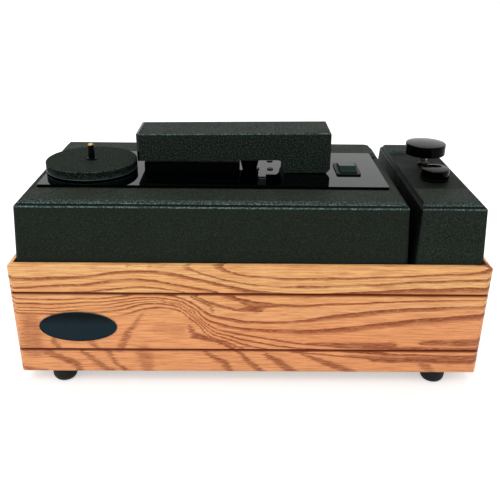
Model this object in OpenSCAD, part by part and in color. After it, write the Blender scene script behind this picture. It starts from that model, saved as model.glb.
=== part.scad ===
// Record cleaning machine for the table top
// A grooved oak case carries two drafted plastic covers. The wide one holds a label-sized
// platter and a lifting arm, the narrow one the fluid tank with its pump and filler cap.
// Millimetres, Z up, origin under the middle of the case at the bottom of the feet.

/* [Oak case] */
// Width over the side boards
box_w = 488; // [470:1:520]
// Depth over the front and back boards
box_d = 248.6; // [244:0.2:280]
// Height of the boards
box_h = 127; // [118:1:150]
// Thickness of the boards
board_t = 19; // [17:0.5:22]
// Thickness of the lip that stands outside the covers
lip_t = 6.5; // [6.2:0.1:7]
// Depth of the step that carries the covers
step_depth = 8; // [6:0.5:10]
// Rounding of the top outer edge
top_round = 6; // [3:0.5:6]
// Rounding of the bottom outer edge
bottom_round = 4; // [2:0.5:6]
// Rounding of the four upright corners
corner_round = 8; // [1:0.5:10]
// Distance of the upper groove below the top of the boards
groove_1_drop = 32; // [26:1:40]
// Distance of the lower groove below the top of the boards
groove_2_drop = 98.8; // [90:0.2:104]
// Width of a groove
groove_w = 4.4; // [3:0.2:6]
// Depth of a groove
groove_depth = 2.6; // [1.5:0.1:3.5]

/* [Feet] */
// Height of a foot
foot_h = 16; // [12:1:20]
// Radius of a foot where it meets the case
foot_r = 13; // [11:0.5:15]
// Radius of the face that stands on the table
foot_base_r = 8.5; // [7:0.5:10]
// Distance of the feet from the side faces
foot_inset_x = 42.3; // [36:0.1:50]
// Distance of the feet from the front and back faces
foot_inset_y = 17; // [16:0.5:24]

/* [Covers] */
// Height of the covers' edge over the top of the boards
cover_rise = 57.7; // [50:0.1:66]
// Draft of the covers' walls in degrees
draft = 4.3; // [2:0.1:5]
// Wall thickness of the covers
cover_t = 2.5; // [2:0.1:3]
// Width of the wide cover at its upper edge
deck_w = 386.3; // [384:0.1:390]
// Width of the narrow cover at its upper edge
tank_w = 65.4; // [62:0.1:66]
// Depth of both covers at their upper edge
cover_d = 223.8; // [222:0.1:224]
// Height of the raised panel over the covers' edge
panel_h = 3; // [2:0.5:4]
// Width of the ledge along the front
ledge_w = 7; // [5:0.5:10]
// Width of the sloped flank along the front
flank_w = 3.6; // [2:0.2:6]
// Rounding of the covers' upper edge
cover_round = 1.6; // [1:0.2:2]
// Plan radius of the wide cover's back right corner
deck_back_r = 11; // [8:1:20]
// Plan radius of the narrow cover's back corners
tank_back_r = 8; // [6:1:12]

/* [Deck] */
// Front edge of the recess in the wide cover
recess_front = -68.2; // [-76:0.2:-64]
// Back edge of the recess in the wide cover
recess_back = 67.6; // [66:0.2:84]
// Left edge of the acrylic plate
plate_x0 = -222.6; // [-226:0.2:-220]
// Right edge of the acrylic plate
plate_x1 = 144.4; // [140:0.2:146]
// Front edge of the acrylic plate
plate_y0 = -60.3; // [-64:0.1:-58]
// Back edge of the acrylic plate
plate_y1 = 64.6; // [60:0.2:69.8]
// Thickness of the acrylic plate
plate_t = 3; // [2.5:0.5:3]

/* [Platter] */
// Platter centre, left to right
platter_x = -176.2; // [-178:0.2:-174]
// Platter centre, front to back
platter_y = -3.5; // [-5:0.5:-2]
// Radius of the platter, just inside a record's label
platter_r = 49.5; // [46:0.5:50]
// Thickness of the platter disc
disc_t = 4.4; // [3:0.2:5]
// Thickness of the ribbed mat
mat_t = 5.7; // [4:0.1:6]
// Radius of the spindle sleeve that centres the record
spindle_r = 3.6; // [3.55:0.01:3.6]
// Height of the sleeve over the mat
sleeve_h = 14.2; // [12:0.2:16]
// Height of the brass tip over the sleeve
tip_h = 3.4; // [2:0.2:5]

/* [Arm] */
// Left end of the arm's casing
arm_x0 = -121.3; // [-123:0.1:-120]
// Length of the casing
arm_len = 208.2; // [206:0.1:211]
// Front face of the casing
arm_y0 = -16.7; // [-18:0.1:-16]
// Depth of the casing, front to back
arm_d = 55.4; // [54:0.2:58]
// Height of the casing's top over the covers' edge
arm_top = 49.25; // [46:0.05:50]
// Height of the long bar
bar_h = 29.8; // [28:0.2:31]
// Height of the end block
block_h = 44.15; // [43:0.05:44.4]
// Width of the end block
block_w = 50.9; // [50:0.1:54]
// Wall thickness of the casing
arm_t = 2.5; // [2:0.1:3]
// Distance of the hinge from the block's right face
hinge_inset = 8.6; // [8.4:0.1:9.5]
// Height of the hinge over the acrylic plate
hinge_lift = 18; // [17.8:0.1:18.4]
// Tilt of the resting arm in degrees, its free end lower
arm_tilt = 0.8; // [0:0.1:1]
// Radius of the hinge pin
hinge_r = 3; // [2.5:0.1:3.2]

/* [Pump and filler] */
// Pump knob centre, left to right
pump_x = 203.3; // [202:0.1:206]
// Pump knob centre, front to back
pump_y = 32.5; // [27:0.1:34]
// Radius of the pump knob
knob_r = 22.7; // [20:0.1:24]
// Thickness of the pump knob at its rim
knob_t = 12.8; // [10:0.1:13]
// Height of the pump knob's underside over the covers' edge
knob_lift = 13.9; // [13.8:0.1:17]
// Travel of the pump
pump_stroke = 10; // [6:1:10]
// Filler cap centre, left to right
cap_x = 202; // [200:0.1:206]
// Filler cap centre, front to back
cap_y = -21.8; // [-24:0.1:-14]
// Radius of the filler cap
cap_r = 14.9; // [14.6:0.1:17]
// Height of the filler cap
cap_h = 12.2; // [9:0.1:13]

/* [Badge] */
// Half the width of the oval badge
badge_a = 39.8; // [30:0.2:44]
// Half the height of the oval badge
badge_b = 17.2; // [12:0.2:20]
// Badge centre, left to right
badge_x = -177.5; // [-190:0.5:-150]
// Badge centre over the bottom of the boards
badge_up = 56.9; // [50:0.1:66]

/* [Hidden] */
$fn = 64;
eps = 0.01;
cut = 1;
round_steps = 6;
base_z = foot_h;
wood_top = foot_h + box_h;
step_z = wood_top - step_depth;
deck_z = wood_top + cover_rise;
plate_top = deck_z + 1 + plate_t;
half_w = box_w / 2;
half_d = box_d / 2;
inner_x = half_w - board_t;
inner_y = half_d - board_t;
cover_drop = deck_z - step_z;
spread = cover_drop * tan(draft);
deck_x0 = -(deck_w + tank_w + 11.5) / 2;
deck_x1 = deck_x0 + deck_w;
tank_x1 = -deck_x0;
tank_x0 = tank_x1 - tank_w;
divider_x = (deck_x1 + tank_x0) / 2;
divider_t = 13;
panel_rabbet_w = 9;
bottom_t = 4;
mat_top = plate_top + 0.7 + disc_t + mat_t;
arm_x1 = arm_x0 + arm_len;
arm_y1 = arm_y0 + arm_d;
arm_z = deck_z + arm_top;
bar_z = arm_z - bar_h;
block_z = arm_z - block_h;
block_x = arm_x1 - block_w;
hinge_x = arm_x1 - hinge_inset;
hinge_z = plate_top + hinge_lift;
hinge_notch_y0 = arm_y0 + 6;
hinge_notch_y1 = arm_y0 + 49;
head_x0 = arm_x0 + 4.2;
head_x1 = -12.2;
slot_y = platter_y;
pad_y = 20;
lip_gap = 3.1;
rest_x = -1.4;
rest_y = -1.8;
rest_r = 7.7;
port_x = 50;
port_r = 5;
hose_r = 5;
switch_x = 107.7;
switch_y = -2.4;
switch_w = 26.6;
switch_d = 40.8;
flange_t = 1.7;
pivot_r = 1.2;
rocker_pivot_z = plate_top - 0.4;
tank_floor_z = deck_z + 0.8;
reservoir_top = deck_z - 12;
reservoir_z0 = base_z + bottom_t;
reservoir_x0 = tank_x0 + 4;
reservoir_x1 = tank_x1 - 8;
reservoir_y0 = -84;
reservoir_y1 = 68;
neck_r = 12;
rod_r = 3.9;
barrel_r = 9.5;
barrel_bore = 7.5;
barrel_len = 52;
piston_h = 6;
blower_x = 20;
blower_y = 20;
blower_r = 58;
blower_z = base_z + bottom_t + 3;
case_h = 44;
plenum_h = 13;
motor_h = 62;
waste_x0 = -214;
waste_x1 = -118;
waste_y0 = -84;
waste_y1 = 84;
waste_z0 = base_z + bottom_t;
waste_h = 74;
waste_inlet_x = -150;
suction_hose_r = 7.2;
fan_hose_r = 8.8;
inlet_x = 124;
inlet_z = base_z + 36;
fuse_x = 84;
drain_x = -166;
drain_z = base_z + 24;
grille_x = blower_x;
grille_z = blower_z + (plenum_h + case_h) / 2;
flange_proud = 1.2;
line_y = 78;
line_z = step_z - 20;
run_gap = 0.06;
vent_slots = 9;

// Points of an arc
function arc(c, r, a0, a1, n = round_steps) =
    [for (i = [0:n]) c + r * [cos(a0 + (a1 - a0) * i / n), sin(a0 + (a1 - a0) * i / n)]];

// Rectangle with a radius for each corner: front right, back right, back left, front left
function rounded(x0, x1, y0, y1, r) = concat(
    arc([x1 - r[0], y0 + r[0]], r[0], -90, 0),
    arc([x1 - r[1], y1 - r[1]], r[1], 0, 90),
    arc([x0 + r[2], y1 - r[2]], r[2], 90, 180),
    arc([x0 + r[3], y0 + r[3]], r[3], 180, 270));

function raise(points, z) = [for (p = points) [p.x, p.y, z]];

// Solid through a stack of rings with equal point counts
module loft(rings) {
    n = len(rings[0]);
    m = len(rings);
    sides = [for (j = [0:m - 2], i = [0:n - 1])
        let (a = j * n + i, b = j * n + (i + 1) % n)
        each [[a, a + n, b + n], [a, b + n, b]]];
    foot = [for (i = [0:n - 1]) i];
    roof = [for (i = [n - 1:-1:0]) (m - 1) * n + i];
    polyhedron([for (ring = rings) each ring], concat([foot], sides, [roof]));
}

// Tube along a list of points, with a bore
module hose(path, r_out, r_in, sides = 10, aside = [0, 1, 0]) {
    m = len(path);
    function heading(i) = let (d = path[min(i + 1, m - 1)] - path[max(i - 1, 0)]) d / norm(d);
    function across(t) = let (s = cross(t, aside)) s / norm(s);
    function ring(i, r) = let (t = heading(i), u = across(t), w = cross(t, u))
        [for (k = [0:sides - 1]) path[i] + r * (u * cos(360 * k / sides) + w * sin(360 * k / sides))];
    points = concat([for (i = [0:m - 1]) each ring(i, r_out)], [for (i = [0:m - 1]) each ring(i, r_in)]);
    inner = m * sides;
    walls = [for (i = [0:m - 2], k = [0:sides - 1])
        let (a = i * sides + k, b = i * sides + (k + 1) % sides, c = a + sides, d = b + sides)
        each [[a, b, d], [a, d, c], [inner + a, inner + d, inner + b], [inner + a, inner + c, inner + d]]];
    ends = [for (k = [0:sides - 1])
        let (a = k, b = (k + 1) % sides, far = (m - 1) * sides)
        each [[a, inner + a, inner + b], [a, inner + b, b],
            [far + a, far + b, inner + far + b], [far + a, inner + far + b, inner + far + a]]];
    polyhedron(points, concat(walls, ends));
}

// Smooth route through a list of points
function through(p, n = 4) = let (m = len(p) - 1)
    concat([for (i = [0:m - 1], k = [0:n - 1]) let (t = k / n,
        a = p[max(i - 1, 0)], b = p[i], c = p[i + 1], d = p[min(i + 2, m)])
        0.5 * (2 * b + (c - a) * t + (2 * a - 5 * b + 4 * c - d) * t
            * t + (3 * b - a - 3 * c + d) * t * t * t)],
        [p[m]]);

// Rectangle with four true round corners
module round_rect(w, d, r) {
    square([w - 2 * r, d], center = true);
    square([w, d - 2 * r], center = true);
    for (x = [-1, 1], y = [-1, 1]) translate([x * (w / 2 - r), y * (d / 2 - r)]) circle(r);
}

module box(x0, x1, y0, y1, z0, z1) {
    translate([x0, y0, z0]) cube([x1 - x0, y1 - y0, z1 - z0]);
}

module tube(r_out, r_in, h) {
    difference() {
        cylinder(r = r_out, h = h);
        translate([0, 0, -cut]) cylinder(r = r_in, h = h + 2 * cut);
    }
}

// Pan head with a straight slot and a plain shank, head upward
module screw(head_r, head_h, shank_r, shank_len) {
    slot_w = head_r * 0.3;
    difference() {
        cylinder(r = head_r, h = head_h, $fn = 24);
        translate([-head_r, -slot_w / 2, head_h / 2]) cube([2 * head_r, slot_w, head_h]);
    }
    translate([0, 0, -shank_len]) cylinder(r = shank_r, h = shank_len + eps, $fn = 20);
}

module at_feet() {
    for (x = [-1, 1], y = [-1, 1])
        translate([x * (half_w - foot_inset_x), y * (half_d - foot_inset_y), 0]) children();
}

// Section of a board: outer face on the left, bottom edge at zero
function board_section() = concat(
    arc([bottom_round, bottom_round], bottom_round, 270, 180),
    [for (drop = [groove_2_drop, groove_1_drop]) let (v = box_h - drop)
        each [[0, v - groove_w / 2], [groove_depth, v], [0, v + groove_w / 2]]],
    arc([top_round, box_h - top_round], top_round, 180, 90),
    [[lip_t, box_h], [lip_t, box_h - step_depth], [board_t, box_h - step_depth],
     [board_t, bottom_t], [board_t - panel_rabbet_w, bottom_t], [board_t - panel_rabbet_w, 0]]);

// One mitred board along X, turned about the middle of the case
module board(run, across, turn) {
    mitre = board_t + cut;
    difference() {
        intersection() {
            rotate([0, 0, turn]) translate([0, -across / 2, base_z]) intersection() {
                rotate([90, 0, 90]) linear_extrude(run, center = true) polygon(board_section());
                linear_extrude(box_h) polygon([[-run / 2, 0], [run / 2, 0],
                    [run / 2 - mitre, mitre], [mitre - run / 2, mitre]]);
            }
            translate([0, 0, base_z]) linear_extrude(box_h) round_rect(box_w, box_d, corner_round);
        }
        at_feet() translate([0, 0, base_z - cut]) cylinder(r = 2, h = 14, $fn = 20);
    }
}

module oak_front_board() {
    color("burlywood") board(box_w, box_d, 0);
}

module oak_right_board() {
    color("burlywood") board(box_d, box_w, 90);
}

module oak_left_board() {
    color("burlywood") board(box_d, box_w, -90);
}

module oak_back_board() {
    color("burlywood") difference() {
        board(box_w, box_d, 180);
        translate([inlet_x, 0, inlet_z]) back_pocket(52, 26, 3, 2.2, 29, 21.6);
        translate([fuse_x, 0, inlet_z]) back_pocket(22, 22, 10.9, 3.2, 15, 15);
        translate([grille_x, 0, grille_z]) back_pocket(84, 36, 4, 1.7, 72, 26);
        translate([drain_x, 0, drain_z]) back_pocket(40, 34, 10, 14, 13.4, 13.4);
    }
}

// Shallow seat for a flange in the back face, with an opening right through
module back_pocket(w, h, r, depth, hole_w, hole_h) {
    translate([0, half_d + cut, 0]) rotate([90, 0, 0]) {
        linear_extrude(depth + cut) round_rect(w, h, r);
        linear_extrude(board_t + 2 * cut) round_rect(hole_w, hole_h, 1);
    }
}

module corner_blocks() {
    side = 18;
    height = 84;
    color("tan") for (x = [-1, 1], y = [-1, 1])
        translate([x * (inner_x - side / 2), y * (inner_y - side / 2), base_z + bottom_t])
            linear_extrude(height) intersection() {
                square(side, center = true);
                rotate(45) square([side * 2, side * 1.1], center = true);
            }
}

module divider_board() {
    color("dimgray") difference() {
        box(divider_x - divider_t / 2, divider_x + divider_t / 2, -inner_y, inner_y, base_z + bottom_t,
            step_z);
        translate([divider_x, line_y, line_z]) rotate([0, 90, 0])
            cylinder(r = 6, h = divider_t + 2 * cut, center = true);
    }
}

module bottom_panel() {
    w = box_w - 2 * (board_t - panel_rabbet_w) - 0.6;
    d = box_d - 2 * (board_t - panel_rabbet_w) - 0.6;
    slot_pitch = 9;
    color("sienna") difference() {
        translate([0, 0, base_z]) linear_extrude(bottom_t) square([w, d], center = true);
        for (i = [0:vent_slots - 1])
            translate([blower_x + (i - (vent_slots - 1) / 2) * slot_pitch, blower_y, base_z - cut])
                linear_extrude(bottom_t + 2 * cut) {
                    square([4, 60], center = true);
                    for (end = [-30, 30]) translate([0, end]) circle(2, $fn = 20);
                }
        at_feet() translate([0, 0, base_z - cut]) cylinder(r = 2, h = bottom_t + 2 * cut, $fn = 20);
    }
}

// Domed foot with a sunk screw seat
module rubber_feet() {
    dome = arc([foot_base_r, foot_h * 0.55], foot_r - foot_base_r, -90, 0);
    side = [for (p = dome) [p.x, max((p.y - dome[0].y) * 1.6, 0)]];
    color([0.05, 0.05, 0.05]) at_feet() rotate_extrude($fn = 48) polygon(concat(
        [[2.1, foot_h], [2.1, 7], [5, 7], [5, 0]], side, [[foot_r, foot_h]]));
}

module foot_screws() {
    color("silver") at_feet() translate([0, 0, 7]) rotate([180, 0, 0]) screw(4.2, 3, 1.95, foot_h);
}

// Plain oval plate with a raised rim
module badge_plate() {
    rim = 1.4;
    color([0.08, 0.1, 0.14]) translate([badge_x, -half_d, base_z + badge_up]) rotate([90, 0, 0])
        difference() {
            linear_extrude(1.2) polygon([for (i = [0:71]) [badge_a * cos(5 * i), badge_b * sin(5 * i)]]);
            translate([0, 0, 0.9]) linear_extrude(cut) polygon([for (i = [0:71])
                [(badge_a - rim) * cos(5 * i), (badge_b - rim) * sin(5 * i)]]);
        }
}

// Ring of a cover: how far it stands in from the sides and from the front
function cover_ring(x0, x1, radii, z, side, front) = raise(rounded(x0 + side, x1 - side,
    -cover_d / 2 + front, cover_d / 2 - side, [for (r = radii) max(r - side, 0.3)]), z);

// Outside of a cover: drafted walls, rounded edge, ledge, mitred flank and raised panel
module cover_outside(x0, x1, radii) {
    below = -spread;
    start = -cover_round * tan(draft);
    turn = [for (a = [0:30:90]) [cover_round * sin(a), cover_round * (1 - cos(a)) + start * (1 - a / 90)]];
    side_1 = cover_round + 0.7;
    side_2 = side_1 + 2;
    loft(concat(
        [cover_ring(x0, x1, radii, step_z, below, below)],
        [for (p = turn) cover_ring(x0, x1, radii, deck_z - cover_round + p.x, p.y, p.y)],
        [cover_ring(x0, x1, radii, deck_z + eps, side_1, ledge_w),
         cover_ring(x0, x1, radii, deck_z + panel_h, side_2, ledge_w + flank_w)]));
}

module cover_inside(x0, x1, radii) {
    side = cover_round + 2.7 + cover_t;
    loft([cover_ring(x0, x1, radii, step_z - cut, cover_t - spread - cut * tan(draft),
            cover_t - spread - cut * tan(draft)),
        cover_ring(x0, x1, radii, deck_z - cover_t, cover_t, cover_t),
        cover_ring(x0, x1, radii, deck_z - cover_t + eps, side, ledge_w + cover_t),
        cover_ring(x0, x1, radii, deck_z + panel_h - cover_t, side + 1, ledge_w + flank_w + cover_t)]);
}

// Shallow pan with sloped ends, sunk into the raised panel
module pan(x0, x1, y0, y1, z, slope, r) {
    corners = [r, r, r, r];
    loft([raise(rounded(x0, x1, y0 + slope, y1 - slope, corners), z),
        raise(rounded(x0, x1, y0, y1, corners), deck_z + panel_h + eps),
        raise(rounded(x0, x1, y0, y1, corners), deck_z + panel_h + cut)]);
}

module cover(x0, x1, radii, pan_x0, pan_x1, pan_y0, pan_y1, pan_z, slope, r) {
    difference() {
        union() {
            difference() {
                cover_outside(x0, x1, radii);
                cover_inside(x0, x1, radii);
            }
            intersection() {
                cover_outside(x0, x1, radii);
                box(max(pan_x0, x0) - cover_t, pan_x1 + cover_t, pan_y0 - cover_t, pan_y1 + cover_t,
                    pan_z - cover_t, deck_z + panel_h);
            }
        }
        pan(pan_x0, pan_x1, pan_y0, pan_y1, pan_z, slope, r);
    }
}

module deck_holes(extra) {
    translate([platter_x, platter_y, 0]) cylinder(r = 6.1 + extra, h = 500);
    translate([port_x, slot_y, 0]) cylinder(r = 8.1 + extra, h = 500);
    translate([head_x0 + 30, slot_y, 0]) cylinder(r = 7.1 + extra, h = 500);
    translate([switch_x, switch_y, 0]) linear_extrude(500)
        square([20.6 + extra, 37.6 + extra], center = true);
}

module deck_cover() {
    color([0.17, 0.19, 0.18]) difference() {
        cover(deck_x0, deck_x1, [2.5, deck_back_r, 3, 2.5],
            deck_x0 - 5, deck_x1 + 5, recess_front, recess_back, deck_z + 1, 1.2, 0.4);
        deck_holes(0.4);
    }
}

module tank_cover() {
    color([0.17, 0.19, 0.18]) difference() {
        cover(tank_x0, tank_x1, [2.5, tank_back_r, tank_back_r, 2.5],
            tank_x0 + 4.7, tank_x1 + 12, -60.4, 79, tank_floor_z, 2.6, 5);
        translate([cap_x, cap_y, step_z]) cylinder(r = neck_r + 0.6, h = 100);
        translate([pump_x, pump_y, step_z]) cylinder(r = 5.5, h = 100);
    }
}

module acrylic_plate() {
    color([0.06, 0.06, 0.07]) difference() {
        translate([(plate_x0 + plate_x1) / 2, (plate_y0 + plate_y1) / 2, plate_top - plate_t])
            linear_extrude(plate_t) round_rect(plate_x1 - plate_x0, plate_y1 - plate_y0, 1.5);
        deck_holes(0);
    }
}

// Three flat screws beside the arm's block and a cupped stud by the plate's right edge
module plate_screws() {
    head_r = 3.4;
    stud = [[0, 0], [3.2, 0], [3.2, 0.9], [2.7, 1.5], [2.1, 1.5], [1.8, 0.8], [0, 0.8]];
    color([0.1, 0.1, 0.1]) {
        difference() {
            for (p = [[6.4, -1.8], [21.8, -2], [22.4, 29]]) translate([p.x, p.y, plate_top])
                cylinder(r = head_r, h = 1, $fn = 24);
            translate([rest_x, rest_y, plate_top - cut]) cylinder(r = rest_r + 0.5, h = 3);
        }
        translate([plate_x1 + 3.4, 56.5, deck_z + 1]) rotate_extrude($fn = 40) polygon(stud);
    }
}

module platter_disc() {
    edge = 1.2;
    z0 = plate_top + 0.7;
    color([0.2, 0.24, 0.24]) translate([platter_x, platter_y, z0]) rotate_extrude($fn = 96)
        polygon([[2.92, 0], [platter_r - edge, 0], [platter_r, edge], [platter_r, disc_t], [2.92, disc_t]]);
}

module platter_mat() {
    color([0.23, 0.24, 0.22]) translate([platter_x, platter_y, mat_top - mat_t]) rotate_extrude($fn = 96)
        polygon([[3.7, 0], [platter_r, 0], [platter_r, mat_t - 0.6], [platter_r - 0.6, mat_t], [6.3, mat_t],
            [6.3, mat_t - 0.7], [3.7, mat_t - 0.7]]);
}

// Sleeve with a foot washer; the straight part centres the record
module spindle_sleeve() {
    straight = 7;
    color([0.05, 0.05, 0.05]) translate([platter_x, platter_y, mat_top]) rotate_extrude($fn = 48)
        polygon([[2.92, -mat_t], [3.65, -mat_t], [3.65, -0.65], [6, -0.65], [6, 0.5], [5.6, 0.9],
            [spindle_r, 1.2],
            [spindle_r, straight], [3.1, sleeve_h], [2.92, sleeve_h]]);
}

module spindle_shaft() {
    length = mat_top + sleeve_h + tip_h - (deck_z - 26);
    color("goldenrod") translate([platter_x, platter_y, deck_z - 26]) rotate_extrude($fn = 40)
        polygon([[0, 0], [2.9, 0], [2.9, length - 1.2], [2.2, length - 0.3], [0, length]]);
}

// Flanged bush hanging under the deck
module shaft_bearing() {
    color("peru") translate([platter_x, platter_y, deck_z - 5]) difference() {
        union() {
            cylinder(r = 12, h = 3.4);
            cylinder(r = 6, h = plate_top + 0.35 - (deck_z - 5));
        }
        translate([0, 0, -cut]) cylinder(r = 2.9 + run_gap, h = 20);
    }
}

// Geared motor under its bracket, the shaft standing in its socket
module platter_motor() {
    color("gray") translate([platter_x, platter_y, 0]) difference() {
        union() {
            translate([0, 0, deck_z - 34]) cylinder(r = 24, h = 16);
            translate([6, 0, deck_z - 56]) cylinder(r = 20, h = 22 + eps);
            for (a = [45:90:315]) rotate(a) translate([26, 0, deck_z - 22]) cylinder(r = 4, h = 4);
            for (a = [45:90:315]) rotate(a) translate([22, -4, deck_z - 22]) cube([4, 8, 4]);
        }
        translate([0, 0, deck_z - 27]) cylinder(r = 2.9 + run_gap, h = 20);
    }
}

module at_motor_legs() {
    for (x = [-1, 1], y = [-1, 1]) translate([platter_x + x * 33, platter_y + y * 24, 0]) children();
}

module motor_bracket() {
    color("lightgray") difference() {
        union() {
            translate([platter_x, platter_y, deck_z - 18]) linear_extrude(2) round_rect(78, 60, 6);
            at_motor_legs() translate([0, 0, deck_z - 18]) cylinder(r = 4, h = 18 - 1.6, $fn = 32);
        }
        translate([platter_x, platter_y, deck_z - 20]) cylinder(r = 7, h = 10);
        at_motor_legs() translate([0, 0, deck_z - 20]) cylinder(r = 1.6, h = 14, $fn = 20);
    }
}

module motor_screws() {
    color("silver") at_motor_legs() translate([0, 0, deck_z - 18]) rotate([180, 0, 0]) screw(3, 2, 1.5, 11);
}

// The arm rests with a slight tilt about its hinge
module tilted() {
    translate([hinge_x, 0, hinge_z]) rotate([0, -arm_tilt, 0])
        translate([-hinge_x, 0, -hinge_z]) children();
}

// Outline of the arm seen from the front: a long bar with a deeper block at its right end
module arm_outline() {
    top_r = 1.6;
    fillet = 7;
    polygon(concat([[arm_x0, bar_z], [arm_x0, arm_z]], arc([arm_x1 - top_r, arm_z - top_r], top_r, 90, 0),
        [[arm_x1, block_z + 4], [arm_x1 - 3.4, block_z], [block_x + 1, block_z], [block_x, block_z + 1]],
        arc([block_x - fillet, bar_z - fillet], fillet, 0, 90)));
}

module arm_hollow() {
    translate([arm_x0 - cut, bar_z + 2]) square([arm_len + cut - arm_t, arm_z - arm_t - bar_z - 2]);
    translate([arm_x0 - cut, bar_z - cut]) square([block_x - 1.2 - arm_x0, 4]);
    translate([block_x - 9.2, bar_z - 9]) square([8, 10]);
    translate([block_x + arm_t, block_z - cut]) square([block_w - 2 * arm_t, block_h - arm_t]);
}

// Stepped window in the back wall beside the block, where hoses pass
module arm_window() {
    low = bar_z + 4.7;
    high = bar_z + 7.6;
    x0 = 9.8;
    x1 = block_x - 1.6;
    slot = 8.9;
    bend = 5.5;
    polygon(concat([[x0, bar_z - cut], [x0, high], [x0 + slot, high], [x0 + slot, low]],
        arc([x1 - bend, low - bend], bend, 90, 0), [[x1, bar_z - 9], [x1 - 6, bar_z - 9], [x1 - 6,
            bar_z - cut]]));
}

module arm_casing() {
    edge = 1.6;
    color([0.15, 0.18, 0.17]) tilted() difference() {
        intersection() {
            translate([0, arm_y1, 0]) rotate([90, 0, 0]) linear_extrude(arm_d) arm_outline();
            rotate([90, 0, 90]) translate([0, 0, arm_x0 - cut]) linear_extrude(arm_len + 2 * cut)
                polygon(concat([[arm_y1, block_z - cut]], arc([arm_y1 - edge, arm_z - edge], edge, 0, 90),
                    arc([arm_y0 + edge, arm_z - edge], edge, 90, 180), [[arm_y0, block_z - cut]]));
        }
        translate([0, arm_y1 - arm_t, 0]) rotate([90, 0, 0]) linear_extrude(arm_d - 2 * arm_t) arm_hollow();
        translate([0, arm_y1 + cut, 0]) rotate([90, 0, 0]) linear_extrude(arm_t + 2 * cut) arm_window();
        box(arm_x1 - arm_t - cut, arm_x1 + cut, hinge_notch_y0, hinge_notch_y1, block_z - cut, hinge_z + 5);
    }
    color([0.15, 0.18, 0.17]) tilted() for (y = [arm_y0 + arm_t - eps, arm_y1 - arm_t - 3])
        translate([hinge_x, y, hinge_z]) rotate([-90, 0, 0]) tube(5.5, hinge_r + 0.02, 3 + eps);
}

module arm_end_plate() {
    t = 2.2;
    color([0.04, 0.04, 0.05]) tilted() translate([arm_x0 - t, 0, 0]) rotate([90, 0, 90]) linear_extrude(t)
        polygon(concat([[arm_y1, bar_z]], arc([arm_y1 - 1.6, arm_z - 1.6], 1.6, 0, 90),
            arc([arm_y0 + 1.6, arm_z - 1.6], 1.6, 90, 180), [[arm_y0, bar_z]]));
}

// Closes the bar from below and carries the upper head and pad
module arm_base_plate() {
    color([0.08, 0.08, 0.09]) tilted() difference() {
        box(arm_x0 + 0.3, 6.6, arm_y0 + arm_t + 0.1, arm_y1 - arm_t - 0.1, bar_z + 0.2, bar_z + 2.2);
        box(head_x0 + 5, head_x1 - 5, slot_y - 2, slot_y + 2, bar_z - cut, bar_z + 5);
    }
}

module hinge_pin() {
    color("silver") translate([hinge_x, arm_y0 + arm_t + 0.1, hinge_z]) rotate([-90, 0, 0])
        cylinder(r = hinge_r, h = arm_d - 2 * arm_t - 0.2);
}

// Suction box over the slot, with a nipple for the hose
module upper_suction_head() {
    z0 = bar_z + 2.2;
    color([0.1, 0.1, 0.11]) tilted() difference() {
        union() {
            box(head_x0, head_x1, slot_y - 7, slot_y + 7, z0, z0 + 11);
            translate([-40, slot_y, z0 + 10]) cylinder(r = 4, h = 3.3);
        }
        box(head_x0 + 5, head_x1 - 5, slot_y - 2, slot_y + 2, z0 - cut, z0 + 5);
        box(head_x0 + 3, head_x1 - 3, slot_y - 4.5, slot_y + 4.5, z0 + 4, z0 + 9);
        translate([-40, slot_y, z0 + 5]) cylinder(r = 3, h = 20);
    }
}

// Pair of velvet strips on both sides of a slot
module lips(z0, h) {
    for (side = [-1, 1])
        translate([head_x0 + 1, slot_y + side * 4 - 1.75, z0]) cube([head_x1 - head_x0 - 2, 3.5, h]);
}

module upper_velvet_lips() {
    z0 = mat_top + lip_gap;
    color([0.12, 0.11, 0.11]) tilted() lips(z0, bar_z + 0.2 - z0);
}

module upper_fluid_pad() {
    z0 = mat_top + lip_gap;
    color([0.2, 0.2, 0.2]) tilted() translate([head_x0 + 1, pad_y - 6, z0])
        cube([head_x1 - head_x0 - 2, 12, bar_z + 0.2 - z0]);
}

// Bend from straight up into a run along X
module elbow(r_out, r_in, bend) {
    translate([bend, 0, 0]) rotate([90, 0, 0]) rotate(90) rotate_extrude(angle = 90, $fn = 48)
        translate([bend, 0]) difference() {
            circle(r_out, $fn = 24);
            circle(r_in, $fn = 24);
        }
}

// Hose from the upper head, along the bar and down to the port under the block
module arm_suction_hose() {
    bend = 6;
    bore = 4.05;
    x0 = -40;
    head_z = bar_z + 13.4;
    mouth_z = plate_top + 1.9;
    run_z = arm_z - arm_t - hose_r - 0.6;
    low_z = run_z - bend;
    color([0.07, 0.07, 0.07]) tilted() {
        translate([x0, slot_y, head_z]) tube(hose_r, bore, low_z - head_z + eps);
        translate([x0, slot_y, low_z]) elbow(hose_r, bore, bend);
        translate([x0 + bend - eps, slot_y, run_z]) rotate([0, 90, 0])
            tube(hose_r, bore, port_x - x0 - 2 * bend + 2 * eps);
        translate([port_x, slot_y, low_z]) rotate(180) elbow(hose_r, bore, bend);
        translate([port_x, slot_y, mouth_z]) tube(hose_r, bore, low_z - mouth_z + eps);
        translate([port_x, slot_y, mouth_z]) tube(8, 4.5, 3);
    }
}

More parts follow.
